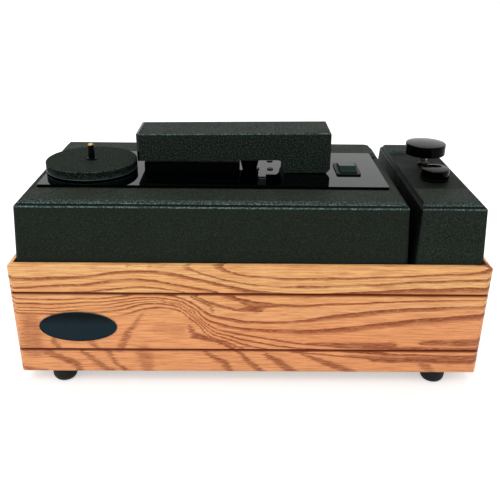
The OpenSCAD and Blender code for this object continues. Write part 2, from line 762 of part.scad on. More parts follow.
// Steel bracket: a base on the plate and two ears for the pin
module hinge_bracket() {
    ear_r = 6;
    ear_t = 3;
    color("lightgray") {
        difference() {
            box(hinge_x - 18, hinge_x + ear_r, arm_y0 + 8, arm_y0 + 47, plate_top, plate_top + 2);
            at_bracket_screws() translate([0, 0, plate_top - cut]) cylinder(r = 1.6, h = 5, $fn = 20);
        }
        for (y = [arm_y0 + 8, arm_y0 + 44]) translate([hinge_x, y + ear_t, hinge_z]) rotate([90, 0, 0])
            linear_extrude(ear_t) difference() {
                union() {
                    circle(ear_r);
                    polygon([[-ear_r, 0], [ear_r, 0], [ear_r, 1 - hinge_lift], [-12, 1 - hinge_lift]]);
                }
                circle(hinge_r + run_gap);
            }
    }
}

module at_bracket_screws() {
    for (x = [-12, -1], y = [18, 37]) translate([hinge_x + x, arm_y0 + y, 0]) children();
}

module bracket_screws() {
    color("silver") at_bracket_screws() translate([0, 0, plate_top + 2]) screw(2.8, 1.8, 1.5, 1.9);
}

// Lower head: slot with a chamber and a tray for the fluid pad
module lower_suction_head() {
    z1 = mat_top - 1.5;
    color([0.06, 0.06, 0.07]) difference() {
        union() {
            box(head_x0, head_x1, slot_y - 7.5, pad_y + 7, plate_top, z1);
            translate([head_x0 + 30, slot_y, deck_z - 16]) cylinder(r = 5, h = 18);
            translate([head_x0 + 30, slot_y, deck_z - 2]) cylinder(r = 7, h = 7);
        }
        box(head_x0 + 5, head_x1 - 5, slot_y - 2, slot_y + 2, plate_top + 2, z1 + cut);
        box(head_x0 + 3, head_x1 - 3, slot_y - 5, slot_y + 5, plate_top + 2, z1 - 3);
        translate([head_x0 + 30, slot_y, deck_z - 20]) cylinder(r = 3.6, h = 30);
        box(head_x0 + 2, head_x1 - 2, pad_y - 5, pad_y + 5, z1 - 2.5, z1 + cut);
    }
}

module lower_velvet_lips() {
    color([0.12, 0.11, 0.11]) lips(mat_top - 1.5, 1.5);
}

module lower_fluid_pad() {
    color([0.2, 0.2, 0.2]) translate([head_x0 + 2.2, pad_y - 4.8, mat_top - 4])
        cube([head_x1 - head_x0 - 4.4, 9.6, 4]);
}

// Flared rubber post that the bar lies over
module arm_rest() {
    head_r = 10.6;
    flare = 0.25;
    gap = 0.35;
    top = bar_z + 0.2 - (hinge_x - rest_x + head_r) * sin(arm_tilt) - gap - plate_top;
    color([0.05, 0.05, 0.05]) translate([rest_x, rest_y, plate_top]) rotate_extrude($fn = 64)
        polygon(concat([[0, 0], [rest_r, 0], [head_r, (head_r - rest_r) / flare]],
            arc([head_r - 1.2, top - 1.2], 1.2, 0, 90), [[0, top]]));
}

// Port in the deck where the arm's hose lands
module suction_port() {
    color([0.1, 0.1, 0.11]) translate([port_x, slot_y, 0]) difference() {
        union() {
            translate([0, 0, deck_z - 18]) cylinder(r = port_r, h = 20);
            translate([0, 0, deck_z - 3]) cylinder(r = 8, h = plate_top - deck_z + 3);
        }
        translate([0, 0, deck_z - 20]) cylinder(r = 3.6, h = 40);
    }
}

module port_gasket() {
    color([0.15, 0.15, 0.15]) translate([port_x, slot_y, plate_top]) tube(9.5, 4, 1);
}

module switch_housing() {
    body = [20.4, 37.4];
    well = [18.6, 35.8];
    color([0.05, 0.05, 0.05]) translate([switch_x, switch_y, 0]) difference() {
        union() {
            translate([0, 0, plate_top]) linear_extrude(flange_t) round_rect(switch_w, switch_d, 2.5);
            translate([0, 0, deck_z - 28]) linear_extrude(plate_top - deck_z + 28 + eps)
                square(body, center = true);
            for (y = [-12, 0, 12]) translate([-3, y - 0.4, deck_z - 36]) cube([6, 0.8, 9]);
        }
        translate([0, 0, plate_top - 7]) linear_extrude(20) square(well, center = true);
        translate([0, 0, rocker_pivot_z]) rotate([0, 90, 0])
            cylinder(r = pivot_r + run_gap, h = body.x - 0.1, center = true, $fn = 24);
    }
}

// Rocker seen from its side, the front on the right: two flats meet in a soft ridge
module switch_rocker() {
    w = 18;
    half = 16.8;
    ridge = [4.1, 6.7];
    soft = 5;
    color([0.1, 0.11, 0.11]) {
        translate([switch_x + w / 2, switch_y, rocker_pivot_z]) rotate([90, 0, -90])
            linear_extrude(w) polygon(concat([[-half, 2.2], [-half, 4.3]],
                arc(ridge - [0, soft], soft, 96.5, 73.5, 4), [[half, 3.1], [half, 1.2], [9, -2.5], [-9,
                    -2.5]]));
        translate([switch_x, switch_y, rocker_pivot_z]) rotate([0, 90, 0])
            cylinder(r = pivot_r, h = w + 2, center = true, $fn = 24);
    }
}

// Domed knob with a softened rim and a socket for the rod
module pump_knob() {
    dome = 1.6;
    rim = 1.2;
    socket = 6.5;
    z0 = deck_z + knob_lift;
    color([0.03, 0.03, 0.03]) translate([pump_x, pump_y, z0]) rotate_extrude($fn = 96) polygon(concat(
        [[0, socket], [rod_r + 0.02, socket], [rod_r + 0.02, 0], [knob_r - 0.8, 0], [knob_r, 0.8]],
        arc([knob_r - rim, knob_t - rim], rim, 0, 70),
        [for (i = [5:-1:0]) let (x = (knob_r - rim) * i / 6) [x, knob_t + dome * (1 - pow(x / knob_r,
            2))]]));
}

module pump_rod() {
    color([0.72, 0.66, 0.5]) translate([pump_x, pump_y, reservoir_top - 2])
        cylinder(r = rod_r, h = deck_z + knob_lift + 6.4 - reservoir_top + 2, $fn = 40);
}

module pump_piston() {
    color([0.8, 0.8, 0.78]) translate([pump_x, pump_y, reservoir_top - 2 - piston_h])
        rotate_extrude($fn = 40)
        polygon([[0, 0], [6.6, 0], [7.4, 1], [7.4, 2.4], [6.6, 3], [7.4, 3.6], [7.4, 5.6], [6.6, piston_h],
            [0, piston_h]]);
}

// Return spring under the piston
spring_r = 5.2;
wire_r = 0.7;
spring_turns = 8;
spring_z0 = reservoir_top - barrel_len + 2.4 + wire_r;
spring_z1 = reservoir_top - 2 - piston_h - 0.3 - wire_r;
spring_pitch = (spring_z1 - spring_z0) / spring_turns;
function coil(t) = [spring_r * cos(360 * t), spring_r * sin(360 * t), spring_z0 + spring_pitch * t];
ring_steps = 8;
echo(spring_gap_to_itself = min([for (k = [0:ring_steps])
    norm(coil(k / ring_steps) - coil(1 + k / ring_steps))])
    * cos(atan(spring_pitch / (2 * PI * spring_r))) - 2 * wire_r);

module pump_spring() {
    count = spring_turns * ring_steps;
    sides = 6;
    lean = atan(spring_pitch / (2 * PI * spring_r));
    points = [for (i = [0:count], k = [0:sides - 1])
        let (a = 360 * i / ring_steps, b = 360 * k / sides, out = wire_r * cos(b), up = wire_r * sin(b),
            tip = up * sin(lean))
        coil(i / ring_steps) + [out * cos(a) + tip * sin(a), out * sin(a) - tip * cos(a), up * cos(lean)]];
    walls = [for (i = [0:count - 1], k = [0:sides - 1])
        let (a = i * sides + k, b = i * sides + (k + 1) % sides)
        each [[a, a + sides, b + sides], [a, b + sides, b]]];
    ends = [[for (k = [0:sides - 1]) k], [for (k = [sides - 1:-1:0]) count * sides + k]];
    color("silver") translate([pump_x, pump_y, 0]) polyhedron(points, concat(walls, ends));
}

// Pump cylinder hanging in the tank, open to the fluid through ports near its foot
module pump_barrel() {
    color([0.85, 0.85, 0.82]) translate([pump_x, pump_y, reservoir_top]) difference() {
        union() {
            cylinder(r = 13, h = 3);
            translate([0, 0, -barrel_len]) cylinder(r = barrel_r, h = barrel_len + eps);
            translate([-10, 0, 2.5]) rotate([0, -90, 0]) cylinder(r = 2.4, h = 9, $fn = 24);
        }
        translate([0, 0, 2.4 - barrel_len]) cylinder(r = barrel_bore, h = barrel_len - 2.8);
        translate([0, 0, -5]) cylinder(r = rod_r + run_gap, h = 20);
        for (a = [0, 180]) rotate(a) translate([0, 0, 6 - barrel_len]) rotate([90, 0, 0])
            cylinder(r = 1.5, h = barrel_r + cut, $fn = 20);
    }
}

module pump_collar() {
    color([0.05, 0.05, 0.05]) translate([pump_x, pump_y, tank_floor_z]) difference() {
        union() {
            cylinder(r = 7, h = 1.2);
            cylinder(r = 6, h = 2.4);
        }
        translate([0, 0, -cut]) cylinder(r = rod_r + run_gap, h = 8);
    }
}

// Ribbed screw cap with a skirt round the filler neck
module filler_cap() {
    ribs = 40;
    rim = 1.2;
    dome = 1;
    wall_r = neck_r + 1.2;
    z0 = tank_floor_z + 0.3;
    color([0.03, 0.03, 0.03]) translate([cap_x, cap_y, z0]) {
        rotate_extrude($fn = 72) polygon(concat([[wall_r, 0], [cap_r + 0.4, 0], [cap_r + 0.4, 2],
            [cap_r, 2.4]],
            arc([cap_r - rim, cap_h - rim], rim, 0, 80, 4),
            [for (i = [5:-1:0]) let (x = (cap_r - rim) * i / 6) [x, cap_h + dome * (1 - pow(x / cap_r,
                2))]],
            [[0, cap_h - 2.2], [wall_r, cap_h - 2.2]]));
        for (i = [0:ribs - 1]) rotate(360 * i / ribs) translate([cap_r - 0.3, -0.35, 2])
            cube([0.7, 0.7, 3.4]);
    }
}

module cap_gasket() {
    color("dimgray") translate([cap_x, cap_y, tank_floor_z + 0.3 + cap_h - 3.6]) tube(neck_r + 0.6, 7, 1.4);
}

// Moulded tank with a filler neck and a seat for the pump
module fluid_tank() {
    wall = 2.5;
    neck_top = tank_floor_z + cap_h - 3.6;
    mid_x = (reservoir_x0 + reservoir_x1) / 2;
    mid_y = (reservoir_y0 + reservoir_y1) / 2;
    w = reservoir_x1 - reservoir_x0;
    d = reservoir_y1 - reservoir_y0;
    color([0.88, 0.88, 0.84]) difference() {
        union() {
            translate([mid_x, mid_y, reservoir_z0]) linear_extrude(reservoir_top - reservoir_z0)
                round_rect(w, d, 6);
            translate([cap_x, cap_y, reservoir_top - eps])
                cylinder(r = neck_r, h = neck_top - reservoir_top);
        }
        translate([mid_x, mid_y, reservoir_z0 + wall])
            linear_extrude(reservoir_top - reservoir_z0 - 2 * wall)
            round_rect(w - 2 * wall, d - 2 * wall, 4);
        translate([cap_x, cap_y, reservoir_top - 2 * wall]) cylinder(r = neck_r - 2, h = 60);
        translate([pump_x, pump_y, reservoir_top - 2 * wall]) cylinder(r = barrel_r + 0.3, h = 3 * wall);
    }
}

// Closed waste box: three hoses enter through its top, the drain leaves at the back
module waste_tank() {
    wall = 3;
    mid_x = (waste_x0 + waste_x1) / 2;
    w = waste_x1 - waste_x0;
    d = waste_y1 - waste_y0;
    color([0.8, 0.8, 0.76]) difference() {
        translate([mid_x, 0, waste_z0]) linear_extrude(waste_h) round_rect(w, d, 6);
        translate([mid_x, 0, waste_z0 + wall]) linear_extrude(waste_h - 2 * wall)
            round_rect(w - 2 * wall, d - 2 * wall, 4);
        for (p = [[-50, suction_hose_r], [0, suction_hose_r], [50, fan_hose_r]])
            translate([waste_inlet_x, p.x, waste_z0 + waste_h - 2 * wall])
                cylinder(r = p.y + 0.1, h = 3 * wall, $fn = 32);
        translate([drain_x, waste_y1 - 2 * wall, drain_z]) rotate([-90, 0, 0])
            cylinder(r = 6.55, h = 30, $fn = 32);
    }
}

// Fan case: air enters a low plenum, passes the eye and leaves towards the back board
module blower_housing() {
    wall = 2.5;
    out_w = 60;
    reach = half_d - board_t - 0.5 - blower_y;
    color("gray") translate([blower_x, blower_y, blower_z]) difference() {
        union() {
            cylinder(r = blower_r, h = case_h, $fn = 72);
            translate([-out_w / 2, 0, plenum_h]) cube([out_w, reach, case_h - plenum_h]);
            translate([-blower_r + 2, 0, plenum_h / 2 + 1]) rotate([0, -90, 0])
                cylinder(r = 6.5, h = 16, $fn = 32);
            for (a = [45:90:315]) rotate(a) translate([blower_r - 9, 0, -3])
                cylinder(r = 6, h = 3 + eps, $fn = 32);
        }
        translate([0, 0, wall]) cylinder(r = blower_r - wall, h = plenum_h - wall, $fn = 72);
        translate([0, 0, plenum_h - cut]) cylinder(r = 18, h = 4);
        translate([0, 0, plenum_h + 2]) cylinder(r = blower_r - wall, h = case_h - plenum_h - 2 - wall,
            $fn = 72);
        translate([wall - out_w / 2, 0, plenum_h + 2])
            cube([out_w - 2 * wall, reach + cut, case_h - plenum_h - 2 - wall]);
        translate([0, 0, case_h - 2 * wall]) cylinder(r = 9, h = 20);
        translate([6 - blower_r, 0, plenum_h / 2 + 1]) rotate([0, -90, 0])
            cylinder(r = 5, h = 30, $fn = 32);
    }
}

// Centrifugal wheel with backward-curved blades, open towards the eye below
module blower_impeller() {
    blades = 10;
    r_out = 46;
    r_in = 20;
    height = 16;
    sweep = 46;
    steps = 6;
    t = 1.6;
    z0 = plenum_h + 4.5;
    function blade(s) = [for (i = [0:steps]) let (u = i / steps, r = r_in + (r_out - r_in) * u,
        a = sweep * u)
        r * [cos(a), sin(a)] + s * t / 2 * [sin(a + 35), -cos(a + 35)]];
    back = blade(-1);
    color("silver") translate([blower_x, blower_y, blower_z]) {
        translate([0, 0, z0]) tube(r_out, r_in, 1.8);
        for (i = [0:blades - 1]) rotate(360 * i / blades) translate([0, 0, z0 + 1.8 - eps])
            linear_extrude(height)
            polygon(concat(blade(1), [for (k = [steps:-1:0]) back[k]]));
        translate([0, 0, z0 + height + 1.8 - 2 * eps]) cylinder(r = r_out, h = 2, $fn = 72);
        translate([0, 0, z0 + 2]) cylinder(r = 8, h = height + 4);
        translate([0, 0, z0 + height + 4]) cylinder(r = 4, h = 30 - height);
    }
}

module blower_motor() {
    z0 = blower_z + case_h + 0.2;
    color([0.35, 0.36, 0.38]) translate([blower_x, blower_y, z0]) difference() {
        union() {
            cylinder(r = 33, h = 6);
            cylinder(r = 27, h = motor_h - 8);
            translate([0, 0, motor_h - 8 - eps]) cylinder(r = 20, h = 8);
            for (a = [0:30:330]) rotate(a) translate([26, -1.2, 6]) cube([3.4, 2.4, motor_h - 18]);
        }
        translate([0, 0, -cut]) cylinder(r = 4 + run_gap, h = 14);
    }
}

// Three hoses inside the case, from the head, the port and the fan into the waste box
module vacuum_hoses() {
    end_z = waste_z0 + waste_h - 2;
    hose_z = deck_z - 6;
    fan_z = blower_z + plenum_h / 2 + 1;
    head_x = head_x0 + 30;
    fan_x = blower_x - blower_r;
    x = waste_inlet_x;
    suction_bore = 5.3;
    fan_bore = 6.9;
    from_head = [[head_x, slot_y, hose_z], [head_x, slot_y, 184], [head_x, slot_y, 178], [-90, -9,
        164], [-97, -22, 148],
        [-120, -40, 139], [-144, -49.5, 126], [x, -50, 108], [x, -50, end_z]];
    from_port = [[port_x, slot_y, hose_z], [port_x, slot_y, 182], [port_x, slot_y, 176], [47, -4, 164],
        [28, -3, 148], [-10, -2, 139],
        [-70, -1, 138], [-120, 0, 134], [-145, 0, 121], [x, 0, 108], [x, 0, end_z]];
    to_fan = [[fan_x - 4, blower_y, fan_z], [fan_x - 15, blower_y, fan_z], [fan_x - 22, blower_y,
        fan_z], [-74, 24, fan_z + 4], [-88, 29, 54],
        [-93, 34, 90], [-105, 40, 122], [-128, 47, 130], [-146, 50, 118], [x, 50, 106], [x, 50, end_z]];
    color([0.12, 0.12, 0.13]) {
        hose(through(from_head), suction_hose_r, suction_bore);
        hose(through(from_port), suction_hose_r, suction_bore);
        hose(through(to_fan), fan_hose_r, fan_bore);
    }
}

// Thin line from the pump to the fluid pads, through the divider board
module fluid_line() {
    lift = reservoir_top + 4;
    pump_end = [pump_x - 16, pump_y, reservoir_top + 2.5];
    pad_end = [head_x1 - 10, pad_y, deck_z - 4];
    path = [pump_end, pump_end - [3.2, 0, 0], pump_end - [5.2, 0, 0], [178.5, pump_y + 4, lift], [176,
        54, lift], [176, 68, lift - 0.2],
        [175.5, 76.5, 184], [175, line_y, 150], [175, line_y, line_z + 12], [170, line_y, line_z + 1],
        [divider_x, line_y, line_z], [152, line_y, line_z], [140, 74, line_z + 10], [108, 60, 150],
        [60, 40, 180], [0, 24, 186], pad_end + [4, 0, -7], pad_end];
    color([0.75, 0.78, 0.74]) hose(through(path, 3), 3.4, 2.65, 8, [1, 1, 1]);
}

// Appliance inlet set flush in the back board
module power_inlet() {
    color([0.06, 0.06, 0.06]) translate([inlet_x, half_d - 2.1, inlet_z]) rotate([-90, 0, 0]) difference() {
        union() {
            linear_extrude(2) round_rect(50, 24, 4);
            translate([0, 0, -24]) linear_extrude(24 + eps) round_rect(28, 20.6, 2);
        }
        translate([0, 0, -16]) linear_extrude(20) round_rect(24.6, 16.6, 3);
        for (x = [-20, 20]) translate([x, 0, -cut]) cylinder(r = 1.8, h = 5, $fn = 20);
    }
    color("silver") for (p = [[-7, 2], [0, -3], [7, 2]])
        translate([inlet_x + p.x, half_d - 18.5, inlet_z + p.y]) rotate([-90, 0, 0])
            linear_extrude(14) square([2, 4.4], center = true);
}

module fuse_holder() {
    color([0.06, 0.06, 0.06]) translate([fuse_x, half_d - 3, inlet_z]) rotate([-90, 0, 0]) difference() {
        union() {
            cylinder(r = 10, h = 2.8);
            translate([0, 0, -28]) cylinder(r = 7, h = 28 + eps);
        }
        translate([-6, -0.8, 1.6]) cube([12, 1.6, 3]);
    }
}

// Louvred outlet of the blower
module exhaust_grille() {
    w = 82;
    h = 34;
    louvres = 5;
    pitch = 4.8;
    seat = 1.6;
    color([0.07, 0.07, 0.07]) translate([grille_x, half_d - seat, grille_z])
        rotate([-90, 0, 0]) difference() {
        linear_extrude(seat + flange_proud) round_rect(w, h, 3);
        for (i = [0:louvres - 1]) translate([0, (i - (louvres - 1) / 2) * pitch, -cut])
            linear_extrude(10) square([w - 14, pitch * 0.55], center = true);
    }
}

// Short outlet of the waste box, sunk into the back board
module drain_spigot() {
    y0 = waste_y1 - 2;
    color([0.1, 0.1, 0.1]) translate([drain_x, y0, drain_z]) rotate([-90, 0, 0]) difference() {
        union() {
            cylinder(r = 6.5, h = half_d - 5.2 - y0);
            translate([0, 0, half_d - 13.9 - y0]) linear_extrude(2) round_rect(34, 28, 8);
        }
        translate([0, 0, -cut]) cylinder(r = 4, h = 60);
    }
}

// Rubber plug with a grip disc
module drain_plug() {
    y0 = half_d - 16;
    color([0.25, 0.05, 0.04]) translate([drain_x, y0, drain_z]) rotate([-90, 0, 0]) {
        cylinder(r = 3.94, h = 11, $fn = 40);
        translate([0, 0, 11 - eps]) cylinder(r = 7.5, h = 4, $fn = 40);
    }
}

oak_front_board();
oak_back_board();
oak_left_board();
oak_right_board();
corner_blocks();
divider_board();
bottom_panel();
rubber_feet();
foot_screws();
badge_plate();
deck_cover();
tank_cover();
acrylic_plate();
plate_screws();
platter_disc();
platter_mat();
spindle_sleeve();
spindle_shaft();
shaft_bearing();
platter_motor();
motor_bracket();
motor_screws();
arm_casing();
arm_end_plate();
arm_base_plate();
hinge_pin();
upper_suction_head();
upper_velvet_lips();
upper_fluid_pad();
arm_suction_hose();
hinge_bracket();
bracket_screws();
lower_suction_head();
lower_velvet_lips();
lower_fluid_pad();
arm_rest();
suction_port();
port_gasket();
switch_housing();
switch_rocker();
pump_knob();
pump_rod();
pump_piston();
pump_spring();
pump_barrel();
pump_collar();
filler_cap();
cap_gasket();
fluid_tank();
waste_tank();
blower_housing();
blower_impeller();
blower_motor();
vacuum_hoses();
fluid_line();
power_inlet();
fuse_holder();
exhaust_grille();
drain_spigot();
drain_plug();
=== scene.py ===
# %% [markdown]
# # A record cleaning machine in oak and black plastic
# This notebook dresses a finished CAD model. The shapes of boards, covers, platter and arm come
# from the frame, so most steps are about finishes: oiled oak with its figure, grained plastic,
# gloss acrylic, rubber and plated metal. A few pieces are built here because their detail is too
# fine for CAD.

# %% Load the frame
import math

import bpy
import bmesh
from mathutils import Matrix, Vector, noise


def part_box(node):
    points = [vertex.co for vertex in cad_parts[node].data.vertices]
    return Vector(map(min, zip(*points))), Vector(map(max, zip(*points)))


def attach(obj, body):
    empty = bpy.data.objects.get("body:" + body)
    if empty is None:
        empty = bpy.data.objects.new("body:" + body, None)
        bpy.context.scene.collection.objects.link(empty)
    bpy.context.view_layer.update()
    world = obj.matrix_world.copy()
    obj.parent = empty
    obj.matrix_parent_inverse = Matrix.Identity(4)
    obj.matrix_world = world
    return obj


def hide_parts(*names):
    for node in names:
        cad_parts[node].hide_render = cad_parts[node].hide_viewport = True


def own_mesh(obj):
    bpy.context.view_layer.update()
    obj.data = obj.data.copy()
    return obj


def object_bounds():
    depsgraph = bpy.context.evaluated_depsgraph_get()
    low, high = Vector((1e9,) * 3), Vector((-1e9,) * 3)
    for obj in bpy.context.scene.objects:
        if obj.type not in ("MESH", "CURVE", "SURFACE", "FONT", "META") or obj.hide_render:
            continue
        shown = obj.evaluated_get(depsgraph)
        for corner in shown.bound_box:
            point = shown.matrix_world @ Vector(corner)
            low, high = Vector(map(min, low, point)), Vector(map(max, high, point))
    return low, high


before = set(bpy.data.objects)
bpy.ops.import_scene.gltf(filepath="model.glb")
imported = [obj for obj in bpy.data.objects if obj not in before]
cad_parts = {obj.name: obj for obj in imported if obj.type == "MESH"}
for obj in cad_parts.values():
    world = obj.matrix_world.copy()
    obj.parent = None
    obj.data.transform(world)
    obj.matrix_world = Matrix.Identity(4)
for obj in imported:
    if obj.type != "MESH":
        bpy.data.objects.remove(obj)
cad_low, cad_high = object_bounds()
print("CAD box in mm", [round(v * 1000, 1) for v in (*cad_low, *cad_high)])

MM = 0.001

# %% [markdown]
# ## The camera
# A photograph fixes its camera: where it stood, how far it was tipped down and how long the lens
# was. Here it stood 0.7 m in front of the case and looked down by about 25 degrees. The turn is
# written as three rotations, from the world's upright axis inwards to the camera's own roll.

# %% Place the camera
IMAGE_PX = 500
FOCAL_PX = 654.8
SENSOR_MM = 36.0
CAMERA_PLACE = (-10.1 * MM, -707.0 * MM, 429.4 * MM)
CAMERA_YAW, CAMERA_PITCH, CAMERA_ROLL = 0.86, 24.73, -0.76
CLIP_NEAR, CLIP_FAR = 0.05, 50


def place_camera():
    data = bpy.data.cameras.new("photo_camera")
    data.sensor_width = SENSOR_MM
    data.lens = FOCAL_PX / IMAGE_PX * SENSOR_MM
    data.clip_start, data.clip_end = CLIP_NEAR, CLIP_FAR
    camera = bpy.data.objects.new("photo_camera", data)
    bpy.context.scene.collection.objects.link(camera)
    turn = (
        Matrix.Rotation(math.radians(-CAMERA_YAW), 4, "Z")
        @ Matrix.Rotation(math.radians(90 - CAMERA_PITCH), 4, "X")
        @ Matrix.Rotation(math.radians(-CAMERA_ROLL), 4, "Z")
    )
    camera.matrix_world = Matrix.Translation(CAMERA_PLACE) @ turn
    bpy.context.scene.camera = camera
    return camera


camera = place_camera()
print("camera lens in mm", round(camera.data.lens, 2))

# %% [markdown]
# ## A small vocabulary for materials
# Node trees are long when each socket is wired by hand. These helpers let a finish be read like a
# recipe: make a node, feed its inputs, take its output. Colours are written as they look on a
# screen and turned into light values in one place.

# %% Node helpers
def shown(red, green, blue):
    """A colour as a screen shows it, 0 to 255, as linear light."""
    values = []
    for channel in (red, green, blue):
        c = channel / 255
        values.append(c / 12.92 if c <= 0.04045 else ((c + 0.055) / 1.055) ** 2.4)
    return (*values, 1.0)


class Recipe:
    """Wires nodes in one tree. An input is a number, a colour or another node's socket."""

    def __init__(self, tree):
        self.tree = tree

    def add(self, kind, inputs=None, output=0, **settings):
        node = self.tree.nodes.new(kind)
        for name, value in settings.items():
            setattr(node, name, value)
        for name, value in (inputs or {}).items():
            self.feed(node.inputs[name], value)
        return node.outputs[output]

    def feed(self, socket, value):
        if isinstance(value, bpy.types.NodeSocket):
            self.tree.links.new(value, socket)
        else:
            socket.default_value = value

    def math(self, operation, a, b=0.0, clamp=False):
        return self.add("ShaderNodeMath", {0: a, 1: b}, operation=operation, use_clamp=clamp)

    def step(self, value, low, high, to_low=0.0, to_high=1.0):
        return self.add(
            "ShaderNodeMapRange",
            {"Value": value, "From Min": low, "From Max": high, "To Min": to_low, "To Max": to_high},
            interpolation_type="SMOOTHSTEP",
        )

    def blend(self, factor, a, b, mode="MIX"):
        node = self.tree.nodes.new("ShaderNodeMix")
        node.data_type = "RGBA"
        node.blend_type = mode
        self.feed(node.inputs[0], factor)
        self.feed(node.inputs[6], a)
        self.feed(node.inputs[7], b)
        return node.outputs[2]

    def noise(self, vector, scale, detail=2.0, roughness=0.5):
        return self.add(
            "ShaderNodeTexNoise",
            {"Vector": vector, "Scale": scale, "Detail": detail, "Roughness": roughness},
        )

    def stretched(self, vector, scale):
        return self.add("ShaderNodeMapping", {"Vector": vector, "Scale": scale})

    def vector(self, operation, a, b=None, scale=None):
        """Vector maths. A length or a dot product comes out as a number."""
        inputs = {0: a}
        if b is not None:
            inputs[1] = b
        if scale is not None:
            inputs["Scale"] = scale
        output = "Value" if operation in ("LENGTH", "DOT_PRODUCT") else "Vector"
        return self.add("ShaderNodeVectorMath", inputs, output=output, operation=operation)

    def part(self, vector, axis):
        return self.add("ShaderNodeSeparateXYZ", {0: vector}, output=axis)

    def bump(self, height, strength, distance):
        inputs = {"Height": height, "Strength": strength, "Distance": distance}
        return self.add("ShaderNodeBump", inputs, output="Normal")


def object_place(recipe):
    return recipe.add("ShaderNodeTexCoord", output="Object")


def upward_part(recipe):
    """How far a face looks up, from -1 to 1, in the piece's own frame."""
    return recipe.part(recipe.add("ShaderNodeTexCoord", output="Normal"), "Z")


NEUTRAL = (1.0, 1.0, 1.0)


def new_finish(name, roughness, metallic=0.0, specular=0.5, coat_roughness=0.1, tint=NEUTRAL):
    """A material with one Principled shader; returns the material, its recipe and the shader."""
    finish = bpy.data.materials.new(name)
    finish.use_nodes = True
    shader = finish.node_tree.nodes["Principled BSDF"]
    shader.inputs["Roughness"].default_value = roughness
    shader.inputs["Metallic"].default_value = metallic
    shader.inputs["Specular IOR Level"].default_value = specular
    shader.inputs["Coat Roughness"].default_value = coat_roughness
    shader.inputs["Specular Tint"].default_value = (*tint, 1.0)
    return finish, Recipe(finish.node_tree), shader


def dress(finish, *names):
    for name in names:
        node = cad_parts[name]
        node.data.materials.clear()
        node.data.materials.append(finish)
    print(finish.name, "on", len(names), "nodes")


# %% [markdown]
# ## Effects that many finishes share
# Two effects return again and again: the pebble pattern of grained plastic and the fine mottling
# of any surface that has been handled. Each is one node group with named sockets, so every finish
# sets its own scale.

# %% Group helpers
def new_group(name, inputs, outputs):
    group = bpy.data.node_groups.new(name, "ShaderNodeTree")
    for title, kind, value in inputs:
        socket = group.interface.new_socket(title, in_out="INPUT", socket_type="NodeSocket" + kind)
        if value is not None:
            socket.default_value = value
    for title, kind in outputs:
        group.interface.new_socket(title, in_out="OUTPUT", socket_type="NodeSocket" + kind)
    source = group.nodes.new("NodeGroupInput")
    result = group.nodes.new("NodeGroupOutput")
    return group, Recipe(group), source.outputs, result.inputs


def use_group(recipe, group, **inputs):
    node = recipe.tree.nodes.new("ShaderNodeGroup")
    node.node_tree = group
    for title, value in inputs.items():
        recipe.feed(node.inputs[title.replace("_", " ")], value)
    return node.outputs


# %% Pebble grain of moulded plastic
def make_pebble_group():
    group, r, source, result = new_group(
        "pebble_grain",
        [("Place", "Vector", None), ("Pebble", "Float", 900.0), ("Warp", "Float", 0.35)],
        [("Height", "Float"), ("Valley", "Float")],
    )
    slow = r.math("MULTIPLY", source["Pebble"], 0.6)
    quick = r.math("MULTIPLY", source["Pebble"], 2.3)
    warp = r.add("ShaderNodeTexNoise", {"Vector": source["Place"], "Scale": slow}, output="Color")
    centred = r.vector("SUBTRACT", warp, (0.5, 0.5, 0.5))
    amount = r.math("DIVIDE", source["Warp"], source["Pebble"])
    moved = r.vector("ADD", source["Place"], r.vector("SCALE", centred, scale=amount))

    def voronoi(scale, feature):
        return r.add("ShaderNodeTexVoronoi", {"Vector": moved, "Scale": scale}, feature=feature)

    cells = voronoi(source["Pebble"], "DISTANCE_TO_EDGE")
    small = voronoi(quick, "F1")
    pebble = r.step(cells, 0.0, 0.32)
    height = r.math("ADD", pebble, r.math("MULTIPLY", small, -0.3))
    r.feed(result["Height"], height)
    r.feed(result["Valley"], r.step(cells, 0.12, 0.0))
    return group


PEBBLE = make_pebble_group()


# %% Mottling
def make_mottle_group():
    group, r, source, result = new_group(
        "mottle",
        [("Place", "Vector", None), ("Scale", "Float", 40.0),
         ("Low", "Float", 0.9), ("High", "Float", 1.1)],
        [("Value", "Float")],
    )
    cloud = r.noise(source["Place"], source["Scale"], 4.0, 0.55)
    value = r.add(
        "ShaderNodeMapRange",
        {"Value": cloud, "From Min": 0.3, "From Max": 0.7,
         "To Min": source["Low"], "To Max": source["High"]},
    )
    r.feed(result["Value"], value)
    return group


MOTTLE = make_mottle_group()
print("shared effects:", PEBBLE.name, MOTTLE.name)

# %% [markdown]
# ## Oiled oak
# The case is flat-sawn red oak. A flat-sawn face cuts the growth rings at a shallow angle, so one
# ring runs along the board as a long line that rises, falls and bends back where it met a knot. A
# noise alone never gives such courses. Here a few of them are drawn as curves, as one would pencil
# them on the board, and the rings between are counted from the distance to the nearest two. Each
# ring starts with early wood: a dark, porous line with a sharp upper edge and a ragged lower one.

